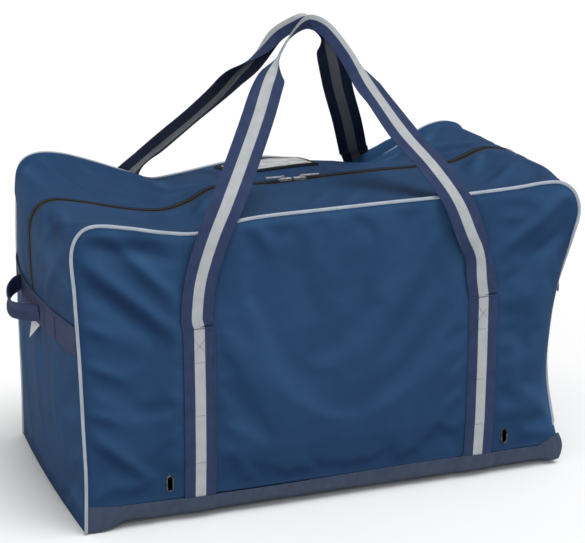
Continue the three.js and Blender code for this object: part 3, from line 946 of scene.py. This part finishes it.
def base_line(face, step, along):
    """One line along the base. step is 0 at the lip's upper edge, 1 where the base starts to turn
    under, 2 on the ground and 2.5 at the middle of the underside."""
    low, high = base_edge(face, step)
    x = low + along * (high - low)
    corner = smooth(np.abs(x - 5 * MM), 395 * MM, 452 * MM)
    radius = BASE_ROUND + (BASE_ROUND_CORNER - BASE_ROUND) * corner
    outer = panel_depth(face, x, np.full_like(x, BASE_SEAM)) + BASE_LIFT
    over_strap = 1 - smooth(np.abs(np.abs(x) - STRAP_X), 26 * MM, 36 * MM)
    outer += 3.2 * MM * over_strap
    seam = BASE_SEAM + 1.5 * MM * np.sin(x * 9)  # the upper edge waves, and rises to the corners
    seam = seam + 6 * MM * smooth(np.abs(x + 10 * MM), 400 * MM, 470 * MM)
    if face == "front":
        seam = seam + 15 * MM * smooth(x, 395 * MM, 440 * MM)
    rim = np.minimum(radius, seam - MM)
    if step <= 1:
        y, z = outer, seam + (rim - seam) * step
    elif step <= 2:
        turn = (step - 1) * math.pi / 2
        y = outer - radius + radius * math.cos(turn)
        z = rim - rim * math.sin(turn)
    else:
        y, z = (outer - radius) * abs((step - 2) * 2 - 1), np.zeros_like(x)
    return np.stack([x, SIDES[face] * y, z], axis=-1)


def make_base():
    """The vinyl base: a turned-up lip, a rounded edge, the underside, and the same at the back."""
    across = np.concatenate([np.linspace(0, 1, 4)[:-1], np.linspace(1, 2, 9)[:-1],
                             np.linspace(2, 3, 40), np.linspace(3, 4, 9)[1:],
                             np.linspace(4, 5, 4)[1:]])
    along = np.linspace(0, 1, 150)
    points = np.stack([base_line("front", a, along) if a < 2.5 else base_line("back", 5 - a, along)
                       for a in across])
    normals = grid_normals(points, (0, 0, -1))
    height = points[..., 2]
    lip = between(height, 2 * MM, 12 * MM, 36 * MM, 45 * MM)
    wrinkle = crumple_height(points * np.array([0.7, 1, 2.2]), 30 * MM, 2.2 * MM, 41)
    left_more = 1 + 0.9 * (1 - smooth(points[..., 0], -420 * MM, -180 * MM))
    points = points + normals * (wrinkle * lip * left_more)[..., None]
    points[..., 2] = np.maximum(points[..., 2], 0)
    base = sheet_object("base_vinyl", wrapped(points), (0, 0, -1))
    base.data.materials.append(VINYL)
    thicken(base, BASE_THICK, LINING)
    piece(base, VINYL, "root", ["base_panel"])


def make_piping(face):
    """A round bead of vinyl in the seam round a panel. At the foot of the front's right edge it
    runs behind the base's vinyl."""
    side = SIDES[face]
    edge = STATIONS[:, LINES[face]]
    flat = spline(edge, evenly(edge, 0.0, LAST, 5 * MM))
    y = np.full(len(flat), side * (HALF_DEPTH + 1.2 * MM))
    centre = wrapped(np.stack([flat[:, 0], y, flat[:, 1]], axis=-1))
    behind = smooth(90 * MM - centre[:, 2], 0, 22 * MM) * (centre[:, 0] > 0) * (face == "front")
    centre = centre + behind[:, None] * np.array([-6 * MM, 6 * MM, 0])
    along = lengths(centre)
    beside, out = frames_along(centre, np.broadcast_to((0, side, 0), centre.shape))
    around = np.linspace(0, 2 * math.pi, 13)[:-1]
    rings, lay = [], []
    for i, middle in enumerate(centre):
        pinch = 1 + 0.06 * noise.noise(Vector((along[i] * 60, side, 0)))
        radius = PIPING_RADIUS * pinch
        rings.append([middle + radius * (math.cos(a) * beside[i] + math.sin(a) * out[i])
                      for a in around])
        lay.append([(along[i], a * PIPING_RADIUS, 0) for a in around])
    bead = tube_object(f"piping_bead_{face}", np.array(rings), np.array(lay))
    piece(bead, PIPING, "root", [f"piping_{face}"])


# ---- Webbing ----


def webbing(name, centre, across, width, fold, thickness, columns=13):
    """Webbing along a line of points. fold is how far, in radians, its two halves bend inwards.
    The width and the fold are one value or one for each point. The lay says 1 on the inner face."""
    beside, out = frames_along(centre, np.broadcast_to(across, centre.shape))
    width, fold = np.broadcast_to(width, len(centre)), np.broadcast_to(fold, len(centre))
    along = lengths(centre)
    share = np.linspace(-0.5, 0.5, columns)
    soft = 0.035  # how sharp the crease of a folded strap is, as a share of its width
    rings, lay = [], []
    for i in range(len(centre)):
        bend = math.sin(fold[i])
        outer, inner = [], []
        for s in share:
            turn = s / math.hypot(s, soft)
            flat = s * width[i] * math.cos(fold[i]) * beside[i]
            drop = (math.hypot(s, soft) - soft) * width[i] * bend * out[i]
            normal = turn * bend * beside[i] + math.cos(fold[i]) * out[i]
            normal /= np.linalg.norm(normal)
            half = 0.5 * thickness * (0.55 if abs(s) > 0.499 else 1)
            middle = centre[i] + flat - drop
            outer.append(middle + normal * half)
            inner.append(middle - normal * half)
        rings.append(outer + inner[::-1])
        lay.append([(along[i], s * width[i], 0) for s in share]
                   + [(along[i], s * width[i], 1) for s in share[::-1]])
    strap = tube_object(name, np.array(rings), np.array(lay))
    return sharpen(strap, 60)


def on_face(face, x, z, lift):
    """Points over a panel at the given x and z, lifted off it."""
    return np.stack([x, SIDES[face] * (panel_depth(face, x, z) + lift), z], axis=-1)


STRAP_LIFT = 0.6 * MM + STRAP_THICK / 2  # from a panel to the middle of a strap sewn on it


def make_sewn_strap(face, hand):
    """The part of a strap that is sewn to its panel, from under the base's edge to the anchor."""
    z = np.linspace(38 * MM, ANCHOR, 70)
    x = np.full_like(z, SIDES[hand] * STRAP_X)
    centre = on_face(face, x, z, STRAP_LIFT)
    across = (-SIDES[face], 0, 0)
    strap = webbing(f"sewn_strap_{face}_{hand}", centre, across, STRAP_WIDTH, 0, STRAP_THICK)
    piece(strap, STRAP, "root", [f"strap_{face}_{hand}"])


FOLDED_FLAT = math.radians(88)  # the two halves of a folded strap lie side by side

# The loose part of each handle: place in mm, direction across it, and fold in degrees. Both are
# written as seen from their own side, so the back handle's y and direction are turned round.
FRONT_HANDLE = [
    ((-272, -264, 376), (1, 0, 0), 0),
    ((-265, -267, 440), (1, 0, 0), 0),
    ((-242, -264, 507), (1, 0, -0.15), 2),
    ((-212, -248, 560), (1, 0, 0), 2),
    ((-165, -196, 620), (1, 0, 0), 3),
    ((-115, -137, 685), (1, 0, 0), 5),
    ((-78, -88, 737), (0.85, -0.5, -0.1), 20),
    ((-58, -69, 762), (0.9, -0.35, -0.3), 57),
    ((-41, -54, 781), (0.8, -0.35, -0.5), 87),
    ((-12, -32, 812), (0.8, -0.4, -0.5), 88),
    ((15, -17, 834), (0.5, -0.8, -0.4), 85),
    ((39, -12, 836), (-0.05, -0.95, -0.25), 86),
    ((68, -18, 819), (-0.35, -0.95, 0.15), 88),
    ((94, -42, 780), (-0.45, -0.85, 0.3), 87),
    ((108, -61, 750), (-0.85, -0.45, -0.1), 48),
    ((119, -79, 720), (-0.95, -0.35, -0.15), 22),
    ((132, -98, 692), (-0.9, -0.35, -0.1), 7),
    ((155, -156, 639), (-1, 0, 0), 3),
    ((183, -222, 590), (-1, 0, 0), 3),
    ((211, -264, 536), (-1, 0, 0.15), 3),
    ((235, -275, 476), (-1, 0, 0.1), 10),
    ((256, -272, 432), (-1, 0, 0), 32),
    ((262, -266, 386), (-1, 0, 0), 3),
]
BACK_HANDLE = [
    ((-268, -264, 372), (1, 0, 0), 0),
    ((-262, -270, 450), (1, 0, 0), 4),
    ((-254, -268, 485), (0.85, 0.5, -0.2), 14),
    ((-213, -257, 526), (0, 0.9, -0.45), 34),
    ((-173, -228, 568), (0, 0.85, -0.55), 36),
    ((-127, -187, 619), (-0.1, 0.8, -0.65), 38),
    ((-90, -138, 672), (0.1, 0.7, -0.7), 42),
    ((-70, -98, 718), (0.6, 0.45, -0.65), 50),
    ((-52, -66, 756), (0.95, 0, -0.35), 60),
    ((-32, -30, 806), (0.6, -0.8, 0.1), 86),
    ((3, -15, 831), (0.3, -0.95, -0.05), 87),
    ((27, -11, 837), (0.05, -0.55, -0.8), 87),
    ((50, -14, 822), (-0.65, -0.55, -0.5), 86),
    ((67, -22, 802), (-0.8, -0.35, -0.45), 74),
    ((84, -34, 775), (-0.85, -0.5, -0.25), 38),
    ((99, -50, 742), (-0.95, -0.3, 0), 14),
    ((131, -98, 676), (-0.9, -0.4, 0), 5),
    ((173, -158, 604), (-0.95, -0.3, 0), 5),
    ((215, -226, 527), (-1, 0, 0), 6),
    ((232, -264, 521), (-1, 0, 0), 3),
    ((247, -276, 485), (-1, 0, 0), 1),
    ((263, -272, 415), (-1, 0, 0), 0),
    ((268, -264, 374), (-1, 0, 0), 0),
]


def handle_stations(face):
    """All stations of a handle, from its left anchor to its right one, in metres."""

    def anchor(sign):
        x, z = sign * STRAP_X, ANCHOR
        depth = float(panel_depth(face, np.array(x), np.array(z))) + STRAP_LIFT
        return [(x, -depth, z, -sign, 0, 0, 0.0)]

    loose = [(*(c * MM for c in place), *across, math.radians(fold))
             for place, across, fold in (FRONT_HANDLE if face == "front" else BACK_HANDLE)]
    return np.array(anchor(-1) + loose + anchor(1))


def make_handle(face):
    """A loose handle, from anchor to anchor."""
    side = SIDES[face]
    data = handle_stations(face)
    data[:, 1] *= -side
    data[:, 3:6] *= (-side, 1, -side)
    fine = spline(data, evenly(data[:, :3], 0, len(data) - 1, 5 * MM))
    centre, across, fold = fine[:, :3], fine[:, 3:6], np.clip(fine[:, 6], 0, FOLDED_FLAT)
    handle = webbing(f"handle_webbing_{face}", centre, across, STRAP_WIDTH, fold, STRAP_THICK)
    piece(handle, STRAP, None, [f"handle_{face}"])
    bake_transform(handle)


# ---- Stitches ----


def stitch_parts(points, normals, length, gap, thick):
    """Stitches along a line that lies on cloth: a short rounded bead every length plus gap."""
    along = lengths(points)
    parts = []
    for i in range(int(along[-1] // (length + gap))):
        ends = (np.array([i, i]) + [0, length / (length + gap)]) * (length + gap) + gap / 2
        a, b = (np.array([np.interp(e, along, points[:, k]) for k in range(3)]) for e in ends)
        up = np.array([np.interp(ends.mean(), along, normals[:, k]) for k in range(3)])
        up /= np.linalg.norm(up)
        run = b - a
        side = np.cross(run, up)
        side *= thick / 2 / np.linalg.norm(side)
        middle = (a + b) / 2
        inset = run * 0.3
        rise = up * thick * 0.5
        bead = [a, middle - inset + side, middle - inset - side, middle - inset + rise,
                middle + inset + side, middle + inset - side, middle + inset + rise, b]
        quads = [(0, 2, 3), (0, 3, 1), (1, 3, 6, 4), (3, 2, 5, 6), (4, 6, 7), (6, 5, 7)]
        parts.append((bead, quads))
    return parts


def panel_row(face, start, end, lift, count=60):
    """A straight line over a panel from one (x, z) to another, with the panel's outward direction."""
    x, z = (np.linspace(start[k], end[k], count) for k in (0, 1))
    return on_face(face, x, z, lift), np.tile([0.0, SIDES[face], 0.0], (count, 1))


def make_strap_stitches(face):
    """Rows down both edges of each sewn strap, lines across it, and a crossed box below the anchor."""
    top = STRAP_LIFT + STRAP_THICK / 2
    edge = STRAP_WIDTH / 2 - 3.5 * MM
    low, high = ANCHOR - 63 * MM, ANCHOR - 3 * MM  # the crossed box
    parts = []
    for x in (-STRAP_X, STRAP_X):
        left, right = x - edge, x + edge
        rows = [((at, 48 * MM), (at, high)) for at in (left, right)]
        rows += [((left, z), (right, z)) for z in (low, high, 196 * MM, 108 * MM)]
        rows += [((left, low), (right, high)), ((right, low), (left, high))]
        for row in rows:
            parts += stitch_parts(*panel_row(face, *row, top), *STITCH)
        ends = [(at, ANCHOR - 1 * MM) for at in (left - 2 * MM, right + 2 * MM)]
        line = panel_row(face, *ends, top + 3.4 * MM)
        parts += stitch_parts(*line, 3.4 * MM, 0.3 * MM, 1.2 * MM)
    stitches = joined(f"strap_stitches_{face}", parts)
    piece(stitches, THREAD_NAVY, "root")


def make_seam_stitches(face):
    """Two rows of top-stitching, one on the base's upper edge and one just above it."""
    parts = []
    for z, lift in ((BASE_SEAM - 6 * MM, 1.6 * MM), (BASE_SEAM + 4 * MM, 0.3 * MM)):
        for start, end in ((-455, -300), (-236, 236), (300, 428)):
            row = panel_row(face, (start * MM, z), (end * MM, z), lift, 80)
            parts += stitch_parts(*row, 3.6 * MM, 1.4 * MM, 0.8 * MM)
    stitches = joined(f"base_stitches_{face}", parts)
    piece(stitches, THREAD_BLUE, "root")


# ---- Ends ----

END_STATIONS = 8  # how many stations an end takes up, from its foot to the top
BAND_THICK = 1.8 * MM


def end_line(end, y, z, lift):
    """Points of an end of the bag at the given y and z, lifted off it."""
    span = (0, END_STATIONS) if end == "left" else (LAST, LAST - END_STATIONS)
    grid = gusset(np.linspace(*span, 800), y)
    x = np.array([np.interp(height, grid[:, i, 2], grid[:, i, 0]) for i, height in enumerate(z)])
    return wrapped(np.stack([x + SIDES[end] * lift, y, z], axis=-1))


def make_band(end):
    """The webbing across an end, which covers where the upper and the lower cloth meet."""
    sign = SIDES[end]
    y = np.linspace(-HALF_DEPTH + 1 * MM, HALF_DEPTH - 1 * MM, 90)
    centre = end_line(end, y, np.full_like(y, sum(BAND) / 2), 1.4 * MM)
    wave = np.array([noise.noise(Vector((v * 14, sign * 3, 0.5))) for v in y])
    centre[:, 0] += sign * 0.8 * MM * (1 + wave)
    width = BAND[1] - BAND[0]
    band = webbing(f"{end}_band_webbing", centre, (0, 0, sign), width, 0, BAND_THICK)
    piece(band, BANDING, "root", [f"{end}_end_band"])
    make_band_stitches(end, centre)


def make_band_stitches(end, centre):
    """Rows along both edges of the band, and four pairs of upright bars across it."""
    sign = SIDES[end]
    out = np.tile([float(sign), 0.0, 0.0], (len(centre), 1))
    inset = (BAND[1] - BAND[0]) / 2 - 3 * MM
    parts = []
    for shift in (-inset, inset):
        row = centre + np.array([sign * BAND_THICK / 2, 0, shift])
        parts += stitch_parts(row[2:-2], out[2:-2], 3.4 * MM, 1.0 * MM, 0.8 * MM)
    height = np.linspace(BAND[0] + 4 * MM, BAND[1] - 4 * MM, 20)
    for y in (-150 * MM, -86 * MM, 86 * MM, 150 * MM):
        for shift in (0, 1.6 * MM):
            bar = end_line(end, np.full_like(height, y + shift), height, 4.4 * MM)
            parts += stitch_parts(bar, out[:len(bar)], 2.2 * MM, 0.2 * MM, 1.7 * MM)
    piece(joined(f"{end}_band_stitches", parts), THREAD_NAVY, "root")


GRAB_HEIGHT = 347 * MM
GRAB_THICK = 4.2 * MM
# The grab loop from its front foot to its back one: reach off the band, y, drop and width in mm,
# and fold in degrees.
GRAB_STATIONS = [
    (1, -58, 2, 24, 0),
    (5, -48, 3, 30, 6),
    (12, -32, 5, 33, 18),
    (21, -6, 9, 34, 24),
    (28, 22, 12, 34, 24),
    (30, 50, 9, 34, 20),
    (27, 78, 3, 34, 14),
    (17, 100, -4, 34, 8),
    (6, 112, -8, 32, 0),
    (1, 118, -9, 26, 0),
]


def make_grab(end):
    """The grab loop: doubled webbing, pinched where it is sewn through the band."""
    sign = SIDES[end]
    root = end_line(end, np.array([0.0]), np.array([GRAB_HEIGHT]), 3 * MM)[0, 0]
    data = []
    for out, y, drop, width, fold in GRAB_STATIONS:
        reach = out * MM - 12 * MM * (abs(y) / 150) ** 2  # the end curves back from its middle
        data.append((root + sign * reach, y * MM, GRAB_HEIGHT - drop * MM, width * MM,
                     math.radians(fold)))
    data = np.array(data)
    fine = spline(data, evenly(data[:, :3], 0, len(data) - 1, 4 * MM))
    centre, width, fold = fine[:, :3], fine[:, 3], fine[:, 4]
    loop = webbing(f"{end}_grab_webbing", centre, (0, 0.12, sign), width, fold, GRAB_THICK)
    piece(loop, BANDING, None, [f"grab_loop_{end}"])
    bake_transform(loop)


def make_label():
    """A blank square care label, turned: its upper half is under the left band, and the rest hangs
    out below and leans away from the bag."""
    size, turn = 40 * MM, math.radians(38)
    share = np.linspace(0, 1, 14)
    across, down = np.meshgrid(share * size, share * size)
    y = -50 * MM + across * math.cos(turn) + down * math.sin(turn)
    z = BAND[0] + 2 * MM + across * math.sin(turn) - down * math.cos(turn)
    below = np.clip((BAND[0] - z) / size, 0, 1)
    points = np.stack([end_line("left", row_y, row_z, 0) for row_y, row_z in zip(y, z)])
    points[..., 0] -= 1.2 * MM + 22 * MM * below
    label = sheet_object("care_label_cloth", points, (-1, 0, 0))
    thicken(label, 0.4 * MM)
    piece(label, LABEL, "root", ["care_label"])


# ---- Zip ----

TAPE_THICK = 0.9 * MM
SLIDER_X = 14 * MM
PIVOT_X = SLIDER_X + 6 * MM  # where each pull turns, from the middle of the bag
PULL_HALF = 0.9 * MM  # half the thickness of a pull


def make_tape(face):
    """One half of the zip, over the top and both ends: its tape, its row of coil, its stitches."""
    side = SIDES[face]
    t = evenly(STATIONS[:, MIDDLE], *BAND_AT, 6 * MM)
    y = side * np.linspace(COIL_GAP, TAPE + COIL_GAP + 4 * MM, 6)
    points = gusset(t, np.sort(y))
    normals = grid_normals(points, (0, 0, 1))
    tape = sheet_object(f"zip_tape_cloth_{face}", points - normals * TAPE_THICK, (0, 0, 1))
    tape.data.materials.append(ZIP_TAPE)
    thicken(tape, TAPE_THICK)
    nodes = [f"top_zip_tape_{face}", f"left_zip_tape_{face}", f"right_zip_tape_{face}"]
    piece(tape, ZIP_TAPE, None, nodes)
    flap_blend(tape)
    make_coil(face)
    up = normals[:, 2]
    line = gusset(t, [side * (TAPE + COIL_GAP + 3 * MM)])[:, 0] + up * 0.4 * MM
    stitches = joined(f"zip_stitches_{face}", stitch_parts(line, up, 3.4 * MM, 1.1 * MM, 0.8 * MM))
    piece(stitches, THREAD_BLUE, None)
    flap_blend(stitches)


def make_coil(face):
    """A spiral of moulded filament along the edge of the tape."""
    side = SIDES[face]
    pitch, turn_points, sides = 2.6 * MM, 8, 4
    wide, tall, wire = 2.6 * MM, 1.3 * MM, 0.55 * MM
    middle = wide * 0.62  # from the middle of the zip to the middle of the spiral
    t = evenly(STATIONS[:, MIDDLE], *BAND_AT, pitch / turn_points)
    line = gusset(t, [side * middle])[:, 0]
    beside, up = frames_along(line, np.broadcast_to((0, 1, 0), line.shape))
    outward = line - np.array([0, 0, 200 * MM])
    up *= np.sign(np.sum(up * outward, axis=1, keepdims=True))
    phase = np.arange(len(line)) * 2 * math.pi / turn_points + (0 if side < 0 else math.pi)
    across, rise = middle * np.cos(phase), tall * (0.2 + np.sin(phase))
    path = line + beside * across[:, None] + up * rise[:, None]
    a, b = frames_along(path, up)
    around = np.linspace(0, 2 * math.pi, sides + 1)[:-1]
    rings = np.stack([path + wire * (math.cos(c) * a + math.sin(c) * b) for c in around], axis=1)
    coil = tube_object(f"zip_coil_{face}", rings, rings)
    piece(coil, ZIP_COIL, None)
    flap_blend(coil)


def box_parts(low, high):
    """A box as vertices and faces."""
    points = [(x, y, z) for x in (low[0], high[0]) for y in (low[1], high[1]) for z in (low[2], high[2])]
    quads = [(0, 1, 3, 2), (4, 6, 7, 5), (0, 4, 5, 1), (2, 3, 7, 6), (0, 2, 6, 4), (1, 5, 7, 3)]
    return points, quads


def prism(outline, low, high):
    """A plate with an outline in X and Y, from one height to another."""
    count = len(outline)
    points = [(*p, low) for p in outline] + [(*p, high) for p in outline]
    quads = [tuple(range(count))[::-1], tuple(range(count, 2 * count))]
    quads += [(i, (i + 1) % count, count + (i + 1) % count, count + i) for i in range(count)]
    return points, quads


def ring_prism(outer, inner, low, high):
    """A plate with a hole: the two outlines have the same number of points."""
    count = len(outer)
    points = [(*p, z) for z in (low, high) for p in outer]
    points += [(*p, z) for z in (low, high) for p in inner]
    quads = []
    for i in range(count):
        j = (i + 1) % count
        quads.append((i, j, count + j, count + i))
        quads.append((2 * count + j, 2 * count + i, 3 * count + i, 3 * count + j))
        quads.append((count + i, count + j, 3 * count + j, 3 * count + i))
        quads.append((j, i, 2 * count + i, 2 * count + j))
    return points, quads


def oval(width, height, count=24):
    """An outline with straight sides and round ends, longer along its second axis."""
    radius = width / 2
    straight = height / 2 - radius
    turns = [(i + 0.5) * 2 * math.pi / count for i in range(count)]
    return [(radius * math.cos(a), radius * math.sin(a) + math.copysign(straight, math.sin(a)))
            for a in turns]


def laid_along(outline, x):
    """An upright outline laid along X, about a middle at x."""
    return [(x + up, -across) for across, up in outline]


def make_slider(hand):
    """A zip slider: two plates on a post, with a bridge over them."""
    side = SIDES[hand]
    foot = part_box(f"zip_slider_{hand}")[0].z
    half = [(-12, -3.2), (-9, -5.2), (-2, -5.6), (6, -6.8), (12, -6.4)]
    nose = half + [(x, -y) for x, y in reversed(half)]
    outline = [(side * x * MM + side * SLIDER_X, y * MM) for x, y in nose]
    if side < 0:
        outline = outline[::-1]
    upper = prism(outline, foot + 2.6 * MM, foot + 4.2 * MM)
    lower = prism(outline, foot, foot + 1.0 * MM)
    post_x = side * (SLIDER_X - 8 * MM)
    post = box_parts((post_x - 1.2 * MM, -1.5 * MM, foot + 0.6 * MM),
                     (post_x + 1.2 * MM, 1.5 * MM, foot + 3.4 * MM))
    body = joined(f"zip_slider_body_{hand}", [upper, lower, post])
    rounded(body, 0.5 * MM)
    piece(body, NICKEL, f"slider_{hand}", [f"zip_slider_{hand}"])
    turn = np.linspace(0, math.pi, 13)
    arch = np.stack([side * PIVOT_X - 6 * MM * np.cos(turn), 0 * turn,
                     foot + 4.0 * MM + 5.0 * MM * np.sin(turn)], axis=-1)
    bridge = webbing(f"zip_slider_bridge_{hand}", arch, (0, 1, 0), 3.2 * MM, 0, 1.3 * MM, columns=5)
    piece(bridge, NICKEL, f"slider_{hand}")


def make_pull(hand):
    """A slider's pull: an eye on the bridge and a long tab with a grip hole."""
    side = SIDES[hand]
    low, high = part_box(f"zip_pull_{hand}")
    middle = (low.z + high.z) / 2
    rings = []
    for outer, outer_x, inner, inner_x in (((9, 12), 4, (4.4, 6.6), 3.2),
                                           ((9.6, 25), 20.5, (4.2, 14), 21.5)):
        outlines = [laid_along(oval(size[0] * MM, size[1] * MM), side * (PIVOT_X + x * MM))
                    for size, x in ((outer, outer_x), (inner, inner_x))]
        rings.append(ring_prism(*outlines, middle - PULL_HALF, middle + PULL_HALF))
    pull = joined(f"zip_pull_tab_{hand}", rings)
    rounded(pull, 0.35 * MM)
    piece(pull, NICKEL, f"pull_{hand}", [f"zip_pull_{hand}"])


# ---- Vents and window ----

# An eyelet's section in mm, from inside its slot outwards: how far out and how far off the panel.
VENT_PROFILE = [(4.3, -2.6), (4.1, 0.4), (4.6, 1.5), (5.4, 1.9), (6.5, 1.6), (7.3, 0.7), (7.4, 0.1)]
VENT_STRAIGHT = 8.6 * MM  # half the length of its straight sides
VENT_COUNT = 32  # points round it
# The section of the ID window's binding: share of its width and lift in mm.
BINDING_PROFILE = [(0, 0.4), (0.04, 2.2), (0.25, 4.4), (0.5, 5.2), (0.75, 5.2), (0.97, 5.0), (1, 3.6)]


def make_vent(face, hand):
    """An oval eyelet rolled over the edge of its slot, with a black sheet behind it as painted shade for
    the dark inside of the bag.
    """
    side = SIDES[face]
    x0 = SIDES[hand] * VENT[0]
    wall = float(panel_depth(face, np.array(x0), np.array(VENT[1])))
    rings = []
    for i in range(VENT_COUNT + 1):
        turn = (i % VENT_COUNT + 0.5) * 2 * math.pi / VENT_COUNT
        straight = math.copysign(VENT_STRAIGHT, math.sin(turn))
        rings.append([(x0 + out * MM * math.cos(turn), side * (wall + rise * MM),
                       VENT[1] + out * MM * math.sin(turn) + straight) for out, rise in VENT_PROFILE])
    rings = np.array(rings)
    faces = grid_faces(*rings.shape[:2])
    points = rings.reshape(-1, 3)
    eyelet = new_object(f"vent_ring_{face}_{hand}", points, faces, points)
    eyelet.modifiers.new("weld", "WELD").merge_threshold = 0.05 * MM
    solid = eyelet.modifiers.new("solid", "SOLIDIFY")
    solid.thickness = 0.5 * MM
    solid.offset = 0
    sharpen(apply_modifiers(eyelet))
    piece(eyelet, GUNMETAL, "root", [f"vent_eyelet_{face}_{hand}"])
    # A near-black sheet behind the slot: painted shade for the dark inside of the bag.
    plate, quads = prism(oval(9.6 * MM, 26.8 * MM, VENT_COUNT), 0, 0.5 * MM)
    points = [(x0 + x, side * (wall + 0.35 * MM + rise), VENT[1] + z) for x, z, rise in plate]
    if side < 0:
        quads = [quad[::-1] for quad in quads]
    shade_sheet = joined(f"vent_shade_sheet_{face}_{hand}", [(points, quads)])
    piece(shade_sheet, VENT_SHADE_SHEET, "root")


def top_patch(x, y, lift):
    """Points of the bag's top over a grid of x and y, lifted off it."""
    grid = gusset(np.linspace(END_STATIONS, LAST - END_STATIONS, 900), y)
    points = np.empty((len(x), len(y), 3))
    for j in range(len(y)):
        points[:, j, 0] = x
        points[:, j, 1] = y[j]
        points[:, j, 2] = np.interp(x, grid[:, j, 0], grid[:, j, 2]) + lift
    return points


def window_sheet(name, points, thickness, material, node):
    """One flat layer of the ID window."""
    layer = sheet_object(name, points, (0, 0, 1))
    thicken(layer, thickness)
    piece(layer, material, None, [node])
    flap_blend(layer)


def make_window():
    """The ID window: clear film over a crumpled blank card, bound with black tape."""
    inset = WINDOW_BORDER / 2
    x = np.linspace(WINDOW_X[0] + inset, WINDOW_X[1] - inset, 45)
    y = np.linspace(WINDOW_Y[0] + inset, WINDOW_Y[1] - inset, 29)
    card = top_patch(x, y, 1.0 * MM)
    card[..., 2] += np.abs(crumple_height(card, 24 * MM, 2.0 * MM, 51))
    window_sheet("id_card_paper", card, 0.3 * MM, CARD, "id_card")
    film = top_patch(x, y, 4.2 * MM)
    film[..., 2] += crumple_height(film, 45 * MM, 0.7 * MM, 53)
    window_sheet("id_window_sheet", film, 0.35 * MM, FILM, "id_window_film")
    make_window_binding()


def make_window_binding():
    """Black tape folded round the window's edge."""
    corners = [(WINDOW_X[i], WINDOW_Y[j]) for i, j in ((0, 0), (1, 0), (1, 1), (0, 1))]
    outer = []
    for (x0, y0), (x1, y1) in zip(corners, corners[1:] + corners[:1]):
        for f in np.linspace(0, 1, 21)[:-1]:
            outer.append((x0 + f * (x1 - x0), y0 + f * (y1 - y0)))
    inner = shrink(outer, WINDOW_BORDER)
    rings, lay = [], []
    for i in range(len(outer) + 1):
        (ax, ay), (bx, by) = outer[i % len(outer)], inner[i % len(outer)]
        ring = []
        for share, lift in BINDING_PROFILE:
            x, y = ax + share * (bx - ax), ay + share * (by - ay)
            ring.append(top_patch(np.array([x]), np.array([y]), lift * MM)[0, 0])
        rings.append(ring)
        lay.append([(i * 8 * MM, share * WINDOW_BORDER, 0) for share, _ in BINDING_PROFILE])
    rings = np.array(rings)
    faces = grid_faces(*rings.shape[:2])
    binding = new_object("id_window_binding", rings.reshape(-1, 3), faces, np.array(lay).reshape(-1, 3))
    if binding.data.polygons[3].normal.z < 0:
        binding.data.flip_normals()
    thicken(binding, 0.8 * MM, smooth_steps=0)
    piece(binding, BINDING, None, ["id_window_frame"])
    flap_blend(binding)


def shrink(outline, by):
    """A rectangle's points moved towards its middle by the same amount on every side."""
    points = np.array(outline)
    low, high = points.min(axis=0), points.max(axis=0)
    middle = (low + high) / 2
    return middle + (points - middle) * (high - low - 2 * by) / (high - low)


# ---- Stage ----


def soft_sun(name, toward, strength, spread):
    """A wide light, like a studio's soft box, that shines that way."""
    data = bpy.data.lights.new(name, "SUN")
    data.energy = strength
    data.angle = math.radians(spread)
    light = bpy.data.objects.new(name, data)
    light.rotation_euler = Vector(toward).to_track_quat("-Z", "Y").to_euler()
    bpy.context.scene.collection.objects.link(light)


def make_stage():
    """A pale floor, an even white sky, and two soft lights, from above and from the front left."""
    reach = 30.0
    corners = [(-reach, -reach, 0), (reach, -reach, 0), (reach, reach, 0), (-reach, reach, 0)]
    floor = new_object("floor", corners, [(0, 1, 2, 3)])
    floor.data.materials.append(make_floor_material())
    world = bpy.data.worlds.new("studio")
    bpy.context.scene.world = world
    world.use_nodes = True
    sky = world.node_tree.nodes["Background"].inputs
    sky["Color"].default_value = (1.0, 1.0, 1.0, 1)
    sky["Strength"].default_value = 0.53
    bpy.context.scene.view_settings.view_transform = "Standard"
    soft_sun("key", (-0.15, 0.24, -0.96), 2.0, 35)
    soft_sun("side", (0.7, 0.75, -0.4), 0.5, 50)


# ---- Assembly ----

panels = {face: make_panel(face) for face in ("front", "back")}
half_cloths = {face: make_half(face) for face in ("front", "back")}
end_cloths = {end: make_lower_end(end) for end in ("left", "right")}
settle_all()
for face in ("front", "back"):
    finish_cloth(panels[face], "root", [f"{face}_panel"])
    finish_half(half_cloths[face], face)
    make_piping(face)
    make_tape(face)
    make_handle(face)
    for hand in ("left", "right"):
        make_sewn_strap(face, hand)
        make_vent(face, hand)
for end in ("left", "right"):
    finish_cloth(end_cloths[end], "root", [f"{end}_end_lower"])
    make_band(end)
    make_grab(end)
    make_slider(end)
    make_pull(end)
make_base()
for make_stitches in (make_strap_stitches, make_seam_stitches):
    for face in ("front", "back"):
        make_stitches(face)
make_label()
make_window()
make_stage()
